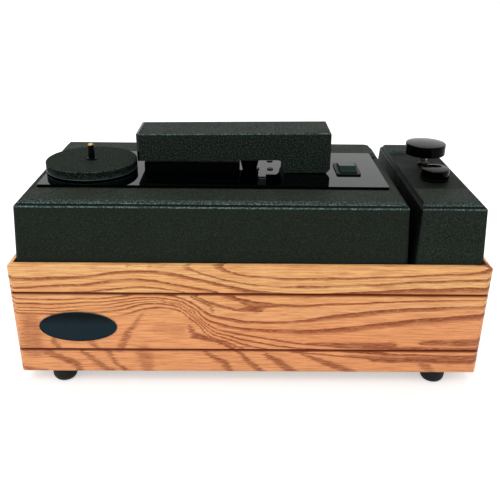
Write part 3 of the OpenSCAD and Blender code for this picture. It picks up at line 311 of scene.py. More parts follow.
# %% Courses of the growth lines on the front board
# Stations along the board and heights over the table, in mm
STATIONS = (-244, -200, -160, -130, -105, -80, -60, -40, -20, 0, 40, 80, 120, 180, 244)
COURSES = [
    (0, (176, 172, 168, 164, 160, 155, 150, 144, 137.5, 133, 130.5, 131.5, 132.5, 135, 140)),
    (1, (152, 151, 150, 149.5, 149, 145, 139, 132, 127, 123, 121, 122, 124, 127, 130)),
    (2, (128, 129, 132, 136, 138, 136, 131, 126, 121.5, 117, 113, 113.5, 115.5, 119, 121)),
    (3, (118, 120, 124, 127.5, 128, 124, 120, 116, 110, 104, 99.5, 101, 103, 105.5, 107)),
    (5, (106, 104.5, 106, 108.5, 110, 109, 102, 88, 82.5, 80, 80, 86.5, 92, 97, 100)),
    (6, (101, 100, 102, 105, 107.3, 105.3, 97, 80, 74.5, 72, 70, 71, 76.5, 83.5, 90)),
    (6.5, (98.5, 97.8, 100, 103.5, 106, 103.8, 94.8, 76.8, 70.8, 67.6, 62.5, 62.5, 68.5, 75.5, 82)),
    (7, (96, 95.5, 98, 102, 104.6, 102.3, 92.5, 73.5, 67, 63, 56, 51.5, 49, 47.5, 46)),
    (9, (89, 88.5, 90, 94, 100.5, 99, 87, 66, 57.5, 50.5, 44, 40, 36, 33, 31)),
    (11, (74, 74, 76, 82, 90, 91, 78, 57, 48, 41, 33, 28, 24, 20, 18)),
]
# Where the cut runs steeply, early wood shows as short broad strokes: from, to, half widths, depth
STROKES = [
    ((-22, 108), (-4, 101), (0.8, 2.4), 0.9),
    ((-17, 93.5), (8, 94.5), (1.0, 4.6), 1.0),
    ((-2, 97), (34, 98.5), (4.0, 1.2), 0.95),
    ((-60, 108), (-41, 98), (1.0, 1.8), 0.9),
    ((-41, 98), (-38, 90), (1.8, 0.8), 0.9),
    ((-63, 74), (-57, 62), (1.8, 5.0), 0.85),
    ((-57, 62), (-33, 55), (5.0, 2.6), 0.95),
    ((-33, 55), (-16, 46), (2.6, 2.0), 0.9),
    ((-110, 88), (-124, 70), (1.2, 3.4), 0.55),
    ((-124, 70), (-136, 46), (3.4, 5.0), 0.7),
    ((-226, 80), (-228, 48), (10.0, 14.0), 0.55),
    ((-206, 56), (-200, 46), (3.0, 4.0), 0.7),
    ((-168, 58), (-160, 46), (3.0, 4.0), 0.6),
    ((60, 53.5), (150, 51), (1.6, 5.4), 0.85),
    ((96, 72), (246, 87), (1.2, 2.6), 0.7),
    ((180, 55), (246, 55), (3.0, 5.5), 0.85),
    ((-216, 42), (-184, 27), (4.2, 4.6), 0.8),
    ((-184, 27), (-179, 16), (4.6, 4.0), 0.8),
    ((-176, 42), (-158, 26), (3.0, 3.4), 0.75),
    ((-158, 26), (-148, 16), (3.4, 5.0), 0.75),
    ((-148, 42), (-143, 28), (4.0, 2.6), 0.7),
    ((-143, 28), (-128, 16), (2.6, 3.2), 0.8),
    ((-112, 42), (-108, 16), (10.0, 7.0), 0.5),
    ((-47, 42), (-27, 29), (2.2, 4.6), 0.85),
    ((-27, 29), (-20, 16), (4.6, 4.0), 0.85),
    ((-12, 42), (2, 27), (2.6, 3.4), 0.8),
    ((2, 27), (14, 16), (3.4, 4.4), 0.85),
    ((16, 40), (34, 27), (2.2, 5.0), 0.85),
    ((34, 27), (48, 16), (5.0, 4.0), 0.85),
    ((54, 40), (78, 30), (1.4, 4.0), 0.8),
    ((78, 30), (112, 16), (4.0, 4.4), 0.85),
    ((100, 38), (160, 35), (1.6, 3.0), 0.7),
    ((130, 34), (246, 33), (3.6, 6.0), 0.88),
    ((185, 28), (196, 18), (6.0, 4.0), 0.6),
    ((-244, 22), (-216, 17), (3.6, 2.0), 0.7),
    ((-146, 145), (-121, 140.5), (0.6, 1.2), 0.8),
    ((-101, 140.5), (-74, 143.5), (1.2, 0.5), 0.75),
    ((-96, 70), (-74, 70), (8.0, 8.0), 0.24),
]
print(len(COURSES), "courses,", len(STROKES), "strokes")


# %% One stroke of early wood
def make_stroke_group():
    group, r, source, result = new_group(
        "grain_stroke",
        [("Place", "Vector", None), ("Start", "Vector", None), ("Reach", "Vector", None),
         ("Wide Start", "Float", 1.0), ("Wide End", "Float", 2.0)],
        [("Mask", "Float")],
    )
    reach = source["Reach"]
    from_start = r.vector("SUBTRACT", source["Place"], source["Start"])
    ahead = r.vector("DOT_PRODUCT", from_start, reach)
    share = r.math("DIVIDE", ahead, r.vector("DOT_PRODUCT", reach, reach), clamp=True)
    nearest = r.vector("SCALE", reach, scale=share)
    distance = r.vector("LENGTH", r.vector("SUBTRACT", from_start, nearest))
    ends = {"To Min": source["Wide Start"], "To Max": source["Wide End"]}
    wide = r.add("ShaderNodeMapRange", {"Value": share, **ends})
    r.feed(result["Mask"], r.step(r.math("DIVIDE", distance, wide), 1.25, 0.45))
    return group


STROKE = make_stroke_group()


# %% The figure of a flat-sawn board
CURVE_TOP = 200.0
BOARD_LENGTH = STATIONS[-1] - STATIONS[0]


def course(r, share, heights):
    """Height of one growth line, from its share of the board's length."""
    node = r.tree.nodes.new("ShaderNodeFloatCurve")
    points = node.mapping.curves[0].points
    points[0].location = (0.0, heights[0] / CURVE_TOP)
    points[1].location = (1.0, heights[-1] / CURVE_TOP)
    for station, height in list(zip(STATIONS, heights))[1:-1]:
        points.new((station - STATIONS[0]) / BOARD_LENGTH, height / CURVE_TOP)
    node.mapping.update()
    r.feed(node.inputs["Value"], share)
    return r.math("MULTIPLY", node.outputs[0], CURVE_TOP)


def make_figure_group():
    group, r, source, result = new_group(
        "flat_sawn_figure",
        [(title, "Float", 0.0) for title in ("Along", "Up", "Behind", "Seed")],
        [(title, "Float") for title in ("Band", "Pore", "Fleck", "Tone", "Relief")],
    )
    m = r.math

    # Wandering of the grain: slow bends up and down, and fibres that slide along the board
    deep = m("ADD", source["Behind"], source["Seed"])
    flow = r.add("ShaderNodeCombineXYZ", {0: source["Along"], 1: deep, 2: source["Up"]})
    bends = r.noise(r.stretched(flow, (0.022, 0.03, 0.05)), 1.0, 2.0, 0.5)
    fibres = r.noise(r.stretched(flow, (0.045, 0.2, 0.85)), 1.0, 3.0, 0.66)
    up = m("ADD", source["Up"], m("MULTIPLY", m("SUBTRACT", bends, 0.5), 5.0))
    up = m("ADD", up, m("MULTIPLY", m("SUBTRACT", fibres, 0.5), 1.7))
    up = m("SUBTRACT", up, m("MULTIPLY", source["Behind"], 0.8))
    slip = m("SUBTRACT", fibres, 0.5)
    along = m("ADD", source["Along"], m("MULTIPLY", slip, 7.0))
    torn_along = m("ADD", source["Along"], m("MULTIPLY", slip, 22.0))

    # Number of the ring, counted from the courses
    share = m("DIVIDE", m("SUBTRACT", along, STATIONS[0]), BOARD_LENGTH, clamp=True)
    lines = [(ring, course(r, share, heights)) for ring, heights in COURSES]
    number = 0.0
    for (ring, line), (next_ring, next_line) in zip(lines, lines[1:]):
        part = m("DIVIDE", m("SUBTRACT", line, up), m("SUBTRACT", line, next_line), clamp=True)
        number = m("ADD", number, m("MULTIPLY", part, next_ring - ring))

    # Early wood on each ring; the rings bunch where they climb over the rise
    count = m("ADD", number, 0.06)
    phase = m("FRACT", count)
    draw = {"W": m("ADD", m("FLOOR", count), source["Seed"])}
    tone = r.add("ShaderNodeTexWhiteNoise", draw, noise_dimensions="1D", output="Value")
    crowd = m("MULTIPLY", r.step(along, -150.0, -110.0), r.step(along, 30.0, -30.0))
    crowd = m("MULTIPLY", crowd, r.step(number, 4.6, 5.2))
    wide = m("ADD", m("ADD", 0.31, m("MULTIPLY", tone, 0.15)), m("MULTIPLY", crowd, 0.16))
    wide = m("ADD", wide, m("MULTIPLY", r.step(along, 30.0, 180.0), 0.06))
    fading = m("SUBTRACT", 1.0, m("DIVIDE", phase, wide), clamp=True)
    line = m("MULTIPLY", r.step(phase, 0.0, 0.09), fading)
    band = m("POWER", line, 0.45)
    # The fourth ring fades out to the right, and the rings stop at the last course
    at_fourth = r.step(m("ABSOLUTE", m("SUBTRACT", number, 4.2)), 0.5, 0.3)
    fourth = m("MULTIPLY", at_fourth, r.step(along, -30.0, 10.0))
    band = m("MULTIPLY", band, m("SUBTRACT", 1.0, fourth))
    band = m("MULTIPLY", band, r.step(number, 0.0, 0.03))
    inner = m("MAXIMUM", r.step(number, 9.6, 9.5), m("MULTIPLY", crowd, r.step(number, 10.97, 10.9)))
    band = m("MULTIPLY", band, inner)

    # The early wood breaks into dashes of open pores, and some stretches of a ring are pale
    dash = r.step(r.noise(r.stretched(flow, (0.13, 0.7, 1.5)), 1.0, 3.0, 0.7), 0.34, 0.60)
    slow = r.noise(r.stretched(flow, (0.016, 0.05, 0.06)), 1.0, 2.0, 0.5)
    pale = r.step(slow, 0.28, 0.50, 0.62, 1.15)
    dashed = m("MULTIPLY", band, m("ADD", 0.5, m("MULTIPLY", dash, 0.62)))
    band = m("MULTIPLY", dashed, pale, clamp=True)

    # Broad strokes, each torn along the fibres
    here = r.add("ShaderNodeCombineXYZ", {0: torn_along, 1: 0.0, 2: up})
    strokes = 0.0
    for start, end, (wide_start, wide_end), depth in STROKES:
        reach = (end[0] - start[0], 0.0, end[1] - start[1])
        one = use_group(r, STROKE, Place=here, Start=(start[0], 0.0, start[1]), Reach=reach,
                        Wide_Start=wide_start, Wide_End=wide_end)
        strokes = m("MAXIMUM", strokes, m("MULTIPLY", one["Mask"], depth))
    torn = r.step(r.noise(r.stretched(flow, (0.07, 0.7, 1.25)), 1.0, 3.0, 0.7), 0.36, 0.60)
    strokes = m("MULTIPLY", strokes, m("ADD", 0.42, m("MULTIPLY", torn, 0.68)))
    band = m("MAXIMUM", band, strokes)

    r.feed(result["Band"], band)
    fine = r.noise(r.stretched(flow, (0.07, 0.8, 1.35)), 1.0, 3.0, 0.66)
    open_pore = r.step(fine, 0.53, 0.68)
    r.feed(result["Pore"], m("MULTIPLY", open_pore, m("ADD", 0.4, m("MULTIPLY", band, 0.6))))
    r.feed(result["Relief"], m("MULTIPLY", open_pore, -1.0))
    rays = r.noise(r.stretched(flow, (0.025, 0.6, 0.75)), 1.0, 3.0, 0.7)
    r.feed(result["Fleck"], r.step(rays, 0.36, 0.68))
    r.feed(result["Tone"], tone)
    return group


FIGURE = make_figure_group()


# %% The oak finish
# Heights of the grooves over the table and half the width of their painted shade, in mm
GROOVES = (111.0, 44.2)
GROOVE_SHADE = 3.0
WARM_OAK = shown(255, 182, 122), shown(254, 173, 112)
GOLD_OAK = shown(255, 203, 132), shown(255, 190, 120)
FLECK_OAK = shown(208, 126, 78)
EARLY_WOOD = shown(134, 56, 24)
PORE_OAK = shown(160, 80, 40)
GROOVE_SHADOW_OAK = shown(116, 44, 10)


def oak(name, along_axis, face, flip=1.0, shift=0.0, seed=0.0):
    """Oak on one board: its long axis, where its outer face lies, and where its figure starts."""
    finish, r, shader = new_finish(name, roughness=0.42, specular=0.3)
    scaled = r.vector("SCALE", object_place(r), scale=1 / MM)
    parts = r.add("ShaderNodeSeparateXYZ", {0: scaled}).node.outputs
    along = r.math("ADD", r.math("MULTIPLY", parts[along_axis], flip), shift)
    across = parts["Y" if along_axis == "X" else "X"]
    outwards = r.math("MULTIPLY", across, math.copysign(1.0, face))
    behind = r.math("SUBTRACT", abs(face), outwards)
    up = parts["Z"]
    figure = use_group(r, FIGURE, Along=along, Up=up, Behind=behind, Seed=seed)
    warm = r.blend(figure["Tone"], *WARM_OAK)
    gold = r.blend(figure["Tone"], *GOLD_OAK)
    ground = r.blend(r.step(up, 70.0, 128.0), warm, gold)
    ground = r.blend(r.math("MULTIPLY", figure["Fleck"], 0.8), ground, FLECK_OAK)
    stained = r.blend(r.math("MULTIPLY", figure["Band"], 0.98), ground, EARLY_WOOD)
    pored = r.blend(r.math("MULTIPLY", figure["Pore"], 0.85), stained, PORE_OAK)
    # Painted shade: a dark line in each groove
    inside = r.step(behind, -0.1, 0.9)
    for height in GROOVES:
        near = r.step(r.math("ABSOLUTE", r.math("SUBTRACT", up, height)), GROOVE_SHADE, 0.5)
        pored = r.blend(r.math("MULTIPLY", near, inside), pored, GROOVE_SHADOW_OAK)
    r.feed(shader.inputs["Base Color"], pored)
    r.feed(shader.inputs["Roughness"], r.step(figure["Band"], 0.0, 1.0, 0.38, 0.6))
    r.feed(shader.inputs["Normal"], r.bump(figure["Relief"], 0.35, 0.00025))
    return finish


HALF_W = (cad_high[0] - cad_low[0]) / 2 / MM
front_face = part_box("oak_front_board")[0][1] / MM
back_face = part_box("oak_back_board")[1][1] / MM
print("board faces in mm", round(HALF_W, 1), round(front_face, 1), round(back_face, 1))
dress(oak("oak_front", "X", front_face), "oak_front_board")
dress(oak("oak_right", "Y", HALF_W, flip=-1.0, shift=120.0, seed=93.0), "oak_right_board")
dress(oak("oak_left", "Y", -HALF_W, shift=-120.0, seed=77.0), "oak_left_board")
dress(oak("oak_back", "X", back_face, flip=-1.0, shift=36.0, seed=31.0), "oak_back_board")

# %% [markdown]
# ## Raw wood inside
# The blocks and the bottom panel are plain timber and board. The divider is a board too, and its
# black is painted shade, so that nothing shows in the gap between the covers.

# %% Raw and painted board
def raw_wood(name, light, dark):
    finish, r, shader = new_finish(name, roughness=0.75, specular=0.3)
    place = object_place(r)
    streak = r.noise(r.stretched(place, (30.0, 400.0, 400.0)), 1.0, 3.0, 0.6)
    r.feed(shader.inputs["Base Color"], r.blend(r.step(streak, 0.3, 0.7), light, dark))
    r.feed(shader.inputs["Normal"], r.bump(streak, 0.3, 0.0003))
    return finish


RAW_BOARD = raw_wood("raw_board", shown(196, 160, 116), shown(160, 122, 82))
# The divider's black stands for the shade in the gap between the covers
SHADE_BLACK_BOARD = raw_wood("shade_black_board", shown(22, 23, 22), shown(14, 15, 14))
dress(RAW_BOARD, "corner_blocks", "bottom_panel")
dress(SHADE_BLACK_BOARD, "divider_board")

# %% [markdown]
# ## Grained plastic
# The covers look like formed sheet with a pressed leather grain, and the arm has a coarser one.
# The pebbles are about a millimetre across: each has a paler crown and a dark rim, which are
# painted highlight and painted shade, and the light breaks on its flank. A bump map gives the
# broken light. More light and shadow is painted on: pale glints on the pebbles, a cool sheen along
# rounded edges, a pale film on faces that look up with painted shade in their hollows, and dark
# places where little light gets in. Masks from the piece's own normal find them, and they ride
# with the piece.

# %% The grained finishes
# A mask of rounded edges, which carry a painted highlight: a cool sheen
def make_edge_group():
    group, r, source, result = new_group(
        "painted_edge_sheen",
        [("Low", "Float", 0.12), ("High", "Float", 0.95)],
        [("Mask", "Float")],
    )
    up = upward_part(r)
    rising = r.step(up, source["Low"], r.math("ADD", source["Low"], 0.22))
    falling = r.step(up, source["High"], r.math("SUBTRACT", source["High"], 0.12))
    r.feed(result["Mask"], r.math("MULTIPLY", rising, falling))
    return group


EDGE_SHEEN_GROUP = make_edge_group()
SHEEN_COLOUR = shown(136, 166, 164)
GLINT_COLOUR = shown(72, 84, 78)
TOP_LIGHT_COLOUR = shown(120, 122, 106)
VALLEY_SHADE_COLOUR = shown(8, 11, 9)
HOLLOW_SHADE_COLOUR = shown(6, 9, 7)
LEDGE_SHADE_COLOUR = shown(5, 8, 6)
GAP_COLOUR = shown(1, 3, 2)


def grained(name, light, dark, pebble, depth, roughness, specular,
            painted_glint=0.5, sheen_strength=0.4, top_light=0.3, ledge=None, gap=None):
    """Pressed grain: base colours, pebbles per metre, relief, then the strength of each effect.

    A ledge is given by its height. A gap is given by two places along Y: the faces that look
    left turn dark from the first to the second.
    """
    finish, r, shader = new_finish(name, roughness=roughness, specular=specular)
    place = object_place(r)
    grain = use_group(r, PEBBLE, Place=place, Pebble=pebble)
    cloud = use_group(r, MOTTLE, Place=place, Scale=28.0, Low=0.0, High=1.0)
    glint = r.step(r.noise(place, pebble * 0.9, 2.0, 0.7), 0.48, 0.61)
    patch = r.step(r.noise(place, pebble * 0.62, 3.0, 0.6), 0.42, 0.62)
    ground = r.blend(cloud["Value"], dark, light)
    # Painted shade darkens the valleys between the pebbles
    ground = r.blend(r.math("MULTIPLY", grain["Valley"], 0.6), ground, VALLEY_SHADE_COLOUR)
    # Painted highlight: pale glints where light breaks on some pebbles
    ground = r.blend(r.math("MULTIPLY", glint, painted_glint), ground, GLINT_COLOUR)
    # On faces that look up, the light from above is painted as a pale film on the crowns
    up = upward_part(r)
    top = r.step(up, 0.86, 0.98)
    # Painted shade darkens the hollows between the lit crowns on faces that look up
    shaded_hollows = r.math("MULTIPLY", top, r.math("SUBTRACT", 1.0, patch))
    ground = r.blend(r.math("MULTIPLY", shaded_hollows, 0.45), ground, HOLLOW_SHADE_COLOUR)
    crowns = r.math("MULTIPLY", top, patch)
    ground = r.blend(r.math("MULTIPLY", crowns, top_light), ground, TOP_LIGHT_COLOUR)
    # Painted highlight: a cool sheen on rounded edges, broken up by the glints
    edge = use_group(r, EDGE_SHEEN_GROUP)
    sheen_mask = r.math("MULTIPLY", edge["Mask"], r.math("ADD", 0.12, r.math("MULTIPLY", glint, 0.88)))
    if ledge:
        # Above the ledge the painted sheen is weaker, and painted shade runs along the ledge
        height = r.part(place, "Z")
        sheen_mask = r.math("MULTIPLY", sheen_mask, r.step(height, ledge + 0.0003, ledge + 0.0010, 1.0, 0.4))
    ground = r.blend(r.math("MULTIPLY", sheen_mask, sheen_strength), ground, SHEEN_COLOUR)
    if ledge:
        # Painted shade in the corner along the ledge
        near = r.step(r.math("ABSOLUTE", r.math("SUBTRACT", height, ledge)), 0.0012, 0.0006)
        ground = r.blend(r.math("MULTIPLY", near, r.step(up, 0.8, 0.97)), ground, LEDGE_SHADE_COLOUR)
    if gap:
        # Dark paint stands for the shadow in the gap between the covers
        sideways = r.part(r.add("ShaderNodeTexCoord", output="Normal"), "X")
        forward = r.step(r.part(place, "Y"), *gap)
        shadow = r.math("MULTIPLY", r.step(sideways, -0.2, -0.6), forward)
        ground = r.blend(r.math("MULTIPLY", shadow, 0.95), ground, GAP_COLOUR)
    r.feed(shader.inputs["Base Color"], ground)
    rough = r.step(cloud["Value"], 0.0, 1.0, roughness - 0.05, roughness + 0.06)
    r.feed(shader.inputs["Roughness"], rough)
    r.feed(shader.inputs["Normal"], r.bump(grain["Height"], 0.9, depth))
    return finish


LEDGE = 0.2007
GAP_SHADE = (0.09, 0.0)
COVER_FINISH = grained(
    "grained_cover", shown(34, 41, 33), shown(29, 36, 28), 900.0, 0.00022, 0.5, 0.04,
    painted_glint=0.22, sheen_strength=0.75, top_light=0.1, ledge=LEDGE,
)
TANK_FINISH = grained(
    "grained_tank_cover", shown(34, 42, 34), shown(29, 36, 28), 900.0, 0.00022, 0.5, 0.035,
    painted_glint=0.38, sheen_strength=0.55, top_light=0.06, ledge=LEDGE, gap=GAP_SHADE,
)
ARM_FINISH = grained(
    "grained_arm", shown(25, 35, 29), shown(20, 29, 24), 800.0, 0.00026, 0.48, 0.02,
    painted_glint=0.58, sheen_strength=0.6, top_light=0.16,
)
dress(COVER_FINISH, "deck_cover")
dress(TANK_FINISH, "tank_cover")
dress(ARM_FINISH, "arm_casing")

# %% [markdown]
# ## Gloss and satin blacks
# Acrylic, knobs and caps are black and glossy: nearly all that one sees of them is what they
# mirror. Their tops are polished, which a clear coat gives, while their moulded sides are duller,
# so the coat follows the upward part of the normal. Satin plastic and rubber scatter more and
# carry a fine mottling.

# %% Plain plastics and rubber
COOL = (0.93, 1.0, 0.96)


def darkened(colour, factor):
    return tuple(c * factor for c in colour[:3]) + (1.0,)


def plastic(name, colour, roughness, specular, grain=0.0, spread=0.05, polish=0.0):
    finish, r, shader = new_finish(
        name, roughness=roughness, specular=specular, coat_roughness=0.04, tint=COOL
    )
    place = object_place(r)
    cloud = use_group(r, MOTTLE, Place=place, Scale=60.0, Low=0.0, High=1.0)
    ground = r.blend(cloud["Value"], darkened(colour, 0.75), colour)
    r.feed(shader.inputs["Base Color"], ground)
    smoothest = max(roughness - spread, 0.02)
    rough = r.step(cloud["Value"], 0.0, 1.0, smoothest, roughness + spread)
    r.feed(shader.inputs["Roughness"], rough)
    if grain:
        fine = r.noise(place, 2600.0, 2.0, 0.5)
        r.feed(shader.inputs["Normal"], r.bump(fine, 0.5, grain))
    if polish:
        upper = r.step(upward_part(r), 0.35, 0.85)
        r.feed(shader.inputs["Coat Weight"], r.math("MULTIPLY", upper, polish))
    return finish


ACRYLIC = plastic("gloss_acrylic", shown(0, 2, 2), 0.03, 0.27, spread=0.015)
KNOB_GLOSS = plastic("knob_gloss", shown(1, 3, 2), 0.08, 0.035, spread=0.03, polish=0.36)
CAP_GLOSS = plastic("cap_gloss", shown(1, 4, 2), 0.1, 0.035, spread=0.03, polish=0.2)
HEAD_BLACK = plastic("head_black", shown(1, 3, 2), 0.5, 0.02, grain=0.00004)
SLEEVE_BLACK = plastic("sleeve_black", shown(4, 6, 5), 0.4, 0.04, grain=0.00002)
SATIN = plastic("satin_black", shown(11, 16, 15), 0.38, 0.08, grain=0.00004)
RUBBER = plastic("black_rubber", shown(20, 22, 21), 0.62, 0.2, grain=0.00008)
dress(ACRYLIC, "acrylic_plate", "arm_end_plate")
dress(KNOB_GLOSS, "pump_knob")
dress(CAP_GLOSS, "filler_cap")
dress(HEAD_BLACK, "upper_suction_head", "lower_suction_head", "suction_port", "arm_rest")
dress(SLEEVE_BLACK, "spindle_sleeve")
dress(
    SATIN, "arm_base_plate", "switch_housing", "pump_collar", "power_inlet", "fuse_holder",
    "exhaust_grille", "drain_spigot",
)
dress(RUBBER, "rubber_feet", "port_gasket", "cap_gasket", "arm_suction_hose", "vacuum_hoses")
dress(plastic("rocker_satin", shown(13, 38, 35), 0.22, 0.035, grain=0.00002), "switch_rocker")
dress(plastic("plug_red", shown(120, 34, 28), 0.5, 0.4, grain=0.00006), "drain_plug")
dress(plastic("line_plastic", shown(196, 204, 194), 0.2, 0.5), "fluid_line")
TANK_PLASTIC = plastic("tank_plastic", shown(226, 226, 214), 0.35, 0.5)
dress(TANK_PLASTIC, "fluid_tank", "waste_tank", "pump_barrel", "pump_piston")
MOTOR_PAINT = plastic("motor_paint", shown(112, 116, 120), 0.35, 0.5, grain=0.00003)
dress(MOTOR_PAINT, "platter_motor", "blower_motor", "blower_housing")

# %% [markdown]
# ## Platter, velvet and metals
# The mat is a ribbed rubber disc on a dark platter. Velvet lips drink the light except at grazing
# angles. The metals are steel for fasteners, brass for the spindle and a plated rod for the pump.

# %% The remaining finishes
def brushed(name, colour, roughness, stretch):
    finish, r, shader = new_finish(name, roughness=roughness, metallic=1.0)
    lines = r.noise(r.stretched(object_place(r), stretch), 1.0, 3.0, 0.6)
    brushing = r.blend(r.step(lines, 0.3, 0.7), darkened(colour, 0.7), colour)
    r.feed(shader.inputs["Base Color"], brushing)
    r.feed(shader.inputs["Roughness"], r.step(lines, 0.3, 0.7, roughness - 0.05, roughness + 0.08))
    return finish


def velvet(name, colour):
    finish, r, shader = new_finish(name, roughness=0.9, specular=0.2)
    shader.inputs["Sheen Weight"].default_value = 0.6
    shader.inputs["Sheen Roughness"].default_value = 0.4
    pile = r.noise(object_place(r), 3500.0, 3.0, 0.7)
    tufts = r.blend(r.step(pile, 0.3, 0.7), darkened(colour, 0.5), colour)
    r.feed(shader.inputs["Base Color"], tufts)
    r.feed(shader.inputs["Normal"], r.bump(pile, 1.0, 0.0003))
    return finish


STEEL = brushed("fastener_steel", shown(190, 190, 190), 0.32, (900.0, 900.0, 60.0))
BRASS = brushed("spindle_brass", shown(208, 168, 96), 0.34, (900.0, 900.0, 900.0))
PLATED = brushed("plated_steel", shown(206, 196, 168), 0.2, (200.0, 200.0, 1500.0))
VELVET = velvet("velvet_black", shown(30, 30, 30))
DISC_FINISH = grained(
    "disc_black", shown(23, 31, 26), shown(18, 26, 22), 1000.0, 0.00018, 0.5, 0.03,
    painted_glint=0.6, sheen_strength=0.3,
)
MAT_FINISH = grained(
    "ribbed_rubber", shown(15, 20, 16), shown(11, 16, 13), 1000.0, 0.00018, 0.6, 0.012,
    painted_glint=0.5, sheen_strength=0.25, top_light=0.0,
)
dress(
    STEEL, "foot_screws", "motor_screws", "bracket_screws", "hinge_pin", "motor_bracket",
    "hinge_bracket", "blower_impeller",
)
dress(BRASS, "spindle_shaft", "shaft_bearing")
dress(PLATED, "pump_rod")
dress(VELVET, "upper_velvet_lips", "lower_velvet_lips", "upper_fluid_pad", "lower_fluid_pad")
dress(plastic("dark_screw", shown(8, 10, 9), 0.35, 0.12), "plate_screws")
dress(DISC_FINISH, "platter_disc")
dress(MAT_FINISH, "platter_mat")


def enamel(name, upper, lower):
    """Gloss enamel that is painted paler towards the lower edge of the badge."""
    finish, r, shader = new_finish(name, roughness=0.2, specular=0.08, tint=COOL)
    place = object_place(r)
    bottom, top = (corner[2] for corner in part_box("badge_plate"))
    cloud = use_group(r, MOTTLE, Place=place, Scale=90.0, Low=-0.0012, High=0.0012)
    level = r.math("ADD", r.part(place, "Z"), cloud["Value"])
    fade = r.step(level, bottom + 0.018, top - 0.004)
    r.feed(shader.inputs["Base Color"], r.blend(fade, lower, upper))
    fine = r.noise(place, 900.0, 2.0, 0.5)
    r.feed(shader.inputs["Roughness"], r.step(fine, 0.3, 0.7, 0.14, 0.26))
    r.feed(shader.inputs["Normal"], r.bump(fine, 0.2, 0.00003))
    return finish


dress(enamel("badge_enamel", shown(4, 9, 11), shown(20, 38, 46)), "badge_plate")

# %% [markdown]
# ## Rings and beads
# Three thin rings are too fine for the CAD model: the bead along the platter's lower edge, the
# lip where the sleeve ends on the brass tip, and the rim of the oval badge. A screw-like tool
# could turn the round ones, but not the oval one. So one helper sweeps a closed profile round any
# oval, and a circle is only the oval with no straight part at its centre.

# %% Sweep a profile round an oval
def point_in_mm(corner):
    return Vector(corner) / MM


def swept_ring(name, centre, profile, finish, oval=(0.0, 0.0), side=Vector((0, 1, 0)), steps=96):
    """Profile points are (outwards, along the axis), in mm; the axis is square to X and side."""
    across = Vector((1, 0, 0))
    axis = across.cross(side)
    mesh = bmesh.new()
    rows = []
    for step in range(steps):
        turn = math.tau * step / steps
        middle = centre + across * oval[0] * math.cos(turn) + side * oval[1] * math.sin(turn)
        lean_x, lean_side = (oval[1], oval[0]) if oval[0] else (1.0, 1.0)
        outwards = (across * lean_x * math.cos(turn) + side * lean_side * math.sin(turn)).normalized()
        rows.append([
            mesh.verts.new((middle + outwards * out + axis * along) * MM) for out, along in profile
        ])
    for row, next_row in zip(rows, rows[1:] + rows[:1]):
        for i in range(len(profile)):
            j = (i + 1) % len(profile)
            mesh.faces.new((row[i], next_row[i], next_row[j], row[j])).smooth = True
    bmesh.ops.recalc_face_normals(mesh, faces=mesh.faces)
    return finished_piece(name, mesh, finish)


def finished_piece(name, mesh, finish):
    data = bpy.data.meshes.new(name)
    mesh.to_mesh(data)
    mesh.free()
    data.materials.append(finish)
    piece = bpy.data.objects.new(name, data)
    bpy.context.scene.collection.objects.link(piece)
    print(name, "has", len(data.polygons), "faces")
    return piece


def bead_profile(out, along, radius, points=8):
    turns = [math.tau * i / points for i in range(points)]
    return [(out + radius * math.cos(t), along + radius * math.sin(t)) for t in turns]


# %% The three rings
disc_low, disc_high = map(point_in_mm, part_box("platter_disc"))
sleeve_high = point_in_mm(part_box("spindle_sleeve")[1])
badge_low, badge_high = map(point_in_mm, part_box("badge_plate"))
PLATTER_AXIS = (disc_low + disc_high) / 2
PLATTER_R = (disc_high.x - disc_low.x) / 2
DISC_CHAMFER = 1.2
RIM_BEAD = 0.42
SLEEVE_BORE = 2.92
SLEEVE_END = 3.1
BADGE_BEAD = 0.45

# The bead's pale colour is a painted highlight along the platter's lower edge
RIM_HIGHLIGHT = plastic("rim_painted_highlight", shown(62, 86, 84), 0.2, 0.3, grain=0.00001)
platter_foot = Vector((PLATTER_AXIS.x, PLATTER_AXIS.y, disc_low.z))
rim_profile = bead_profile(PLATTER_R - 0.1, DISC_CHAMFER, RIM_BEAD)
rim = swept_ring("platter_rim", platter_foot, rim_profile, RIM_HIGHLIGHT)
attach(rim, "platter")

sleeve_top = Vector((PLATTER_AXIS.x, PLATTER_AXIS.y, sleeve_high.z))
lip_profile = [
    (SLEEVE_BORE, -0.3), (SLEEVE_END + 0.03, -0.3),
    (SLEEVE_END - 0.05, 1.0), (SLEEVE_BORE + 0.03, 1.3),
]
lip = swept_ring("sleeve_lip", sleeve_top, lip_profile, SLEEVE_BLACK, steps=48)
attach(lip, "platter")

badge_middle = (badge_low + badge_high) / 2
badge_front = Vector((badge_middle.x, badge_low.y + BADGE_BEAD, badge_middle.z))
badge_half = ((badge_high.x - badge_low.x) / 2 - 0.2, (badge_high.z - badge_low.z) / 2 - 0.2)
BADGE_RIM = plastic("badge_rim", shown(58, 84, 92), 0.3, 0.3, grain=0.00001)
badge_ring = swept_ring("badge_ring", badge_front, bead_profile(0.0, 0.0, BADGE_BEAD), BADGE_RIM,
                        oval=badge_half, side=Vector((0, 0, 1)))
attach(badge_ring, "case")

# %% [markdown]
# ## Pimples of the mat
# The label rests on a rubber mat with some 1500 low pimples, which show as a fine weave from
# afar. They repeat, so Geometry Nodes sets them out: a grid of points, cut to a ring, with one
# small frustum on each, a little bigger or smaller by a fixed random number. The mesh is then
# taken from the nodes and the modifier goes, so that a plain piece is left.

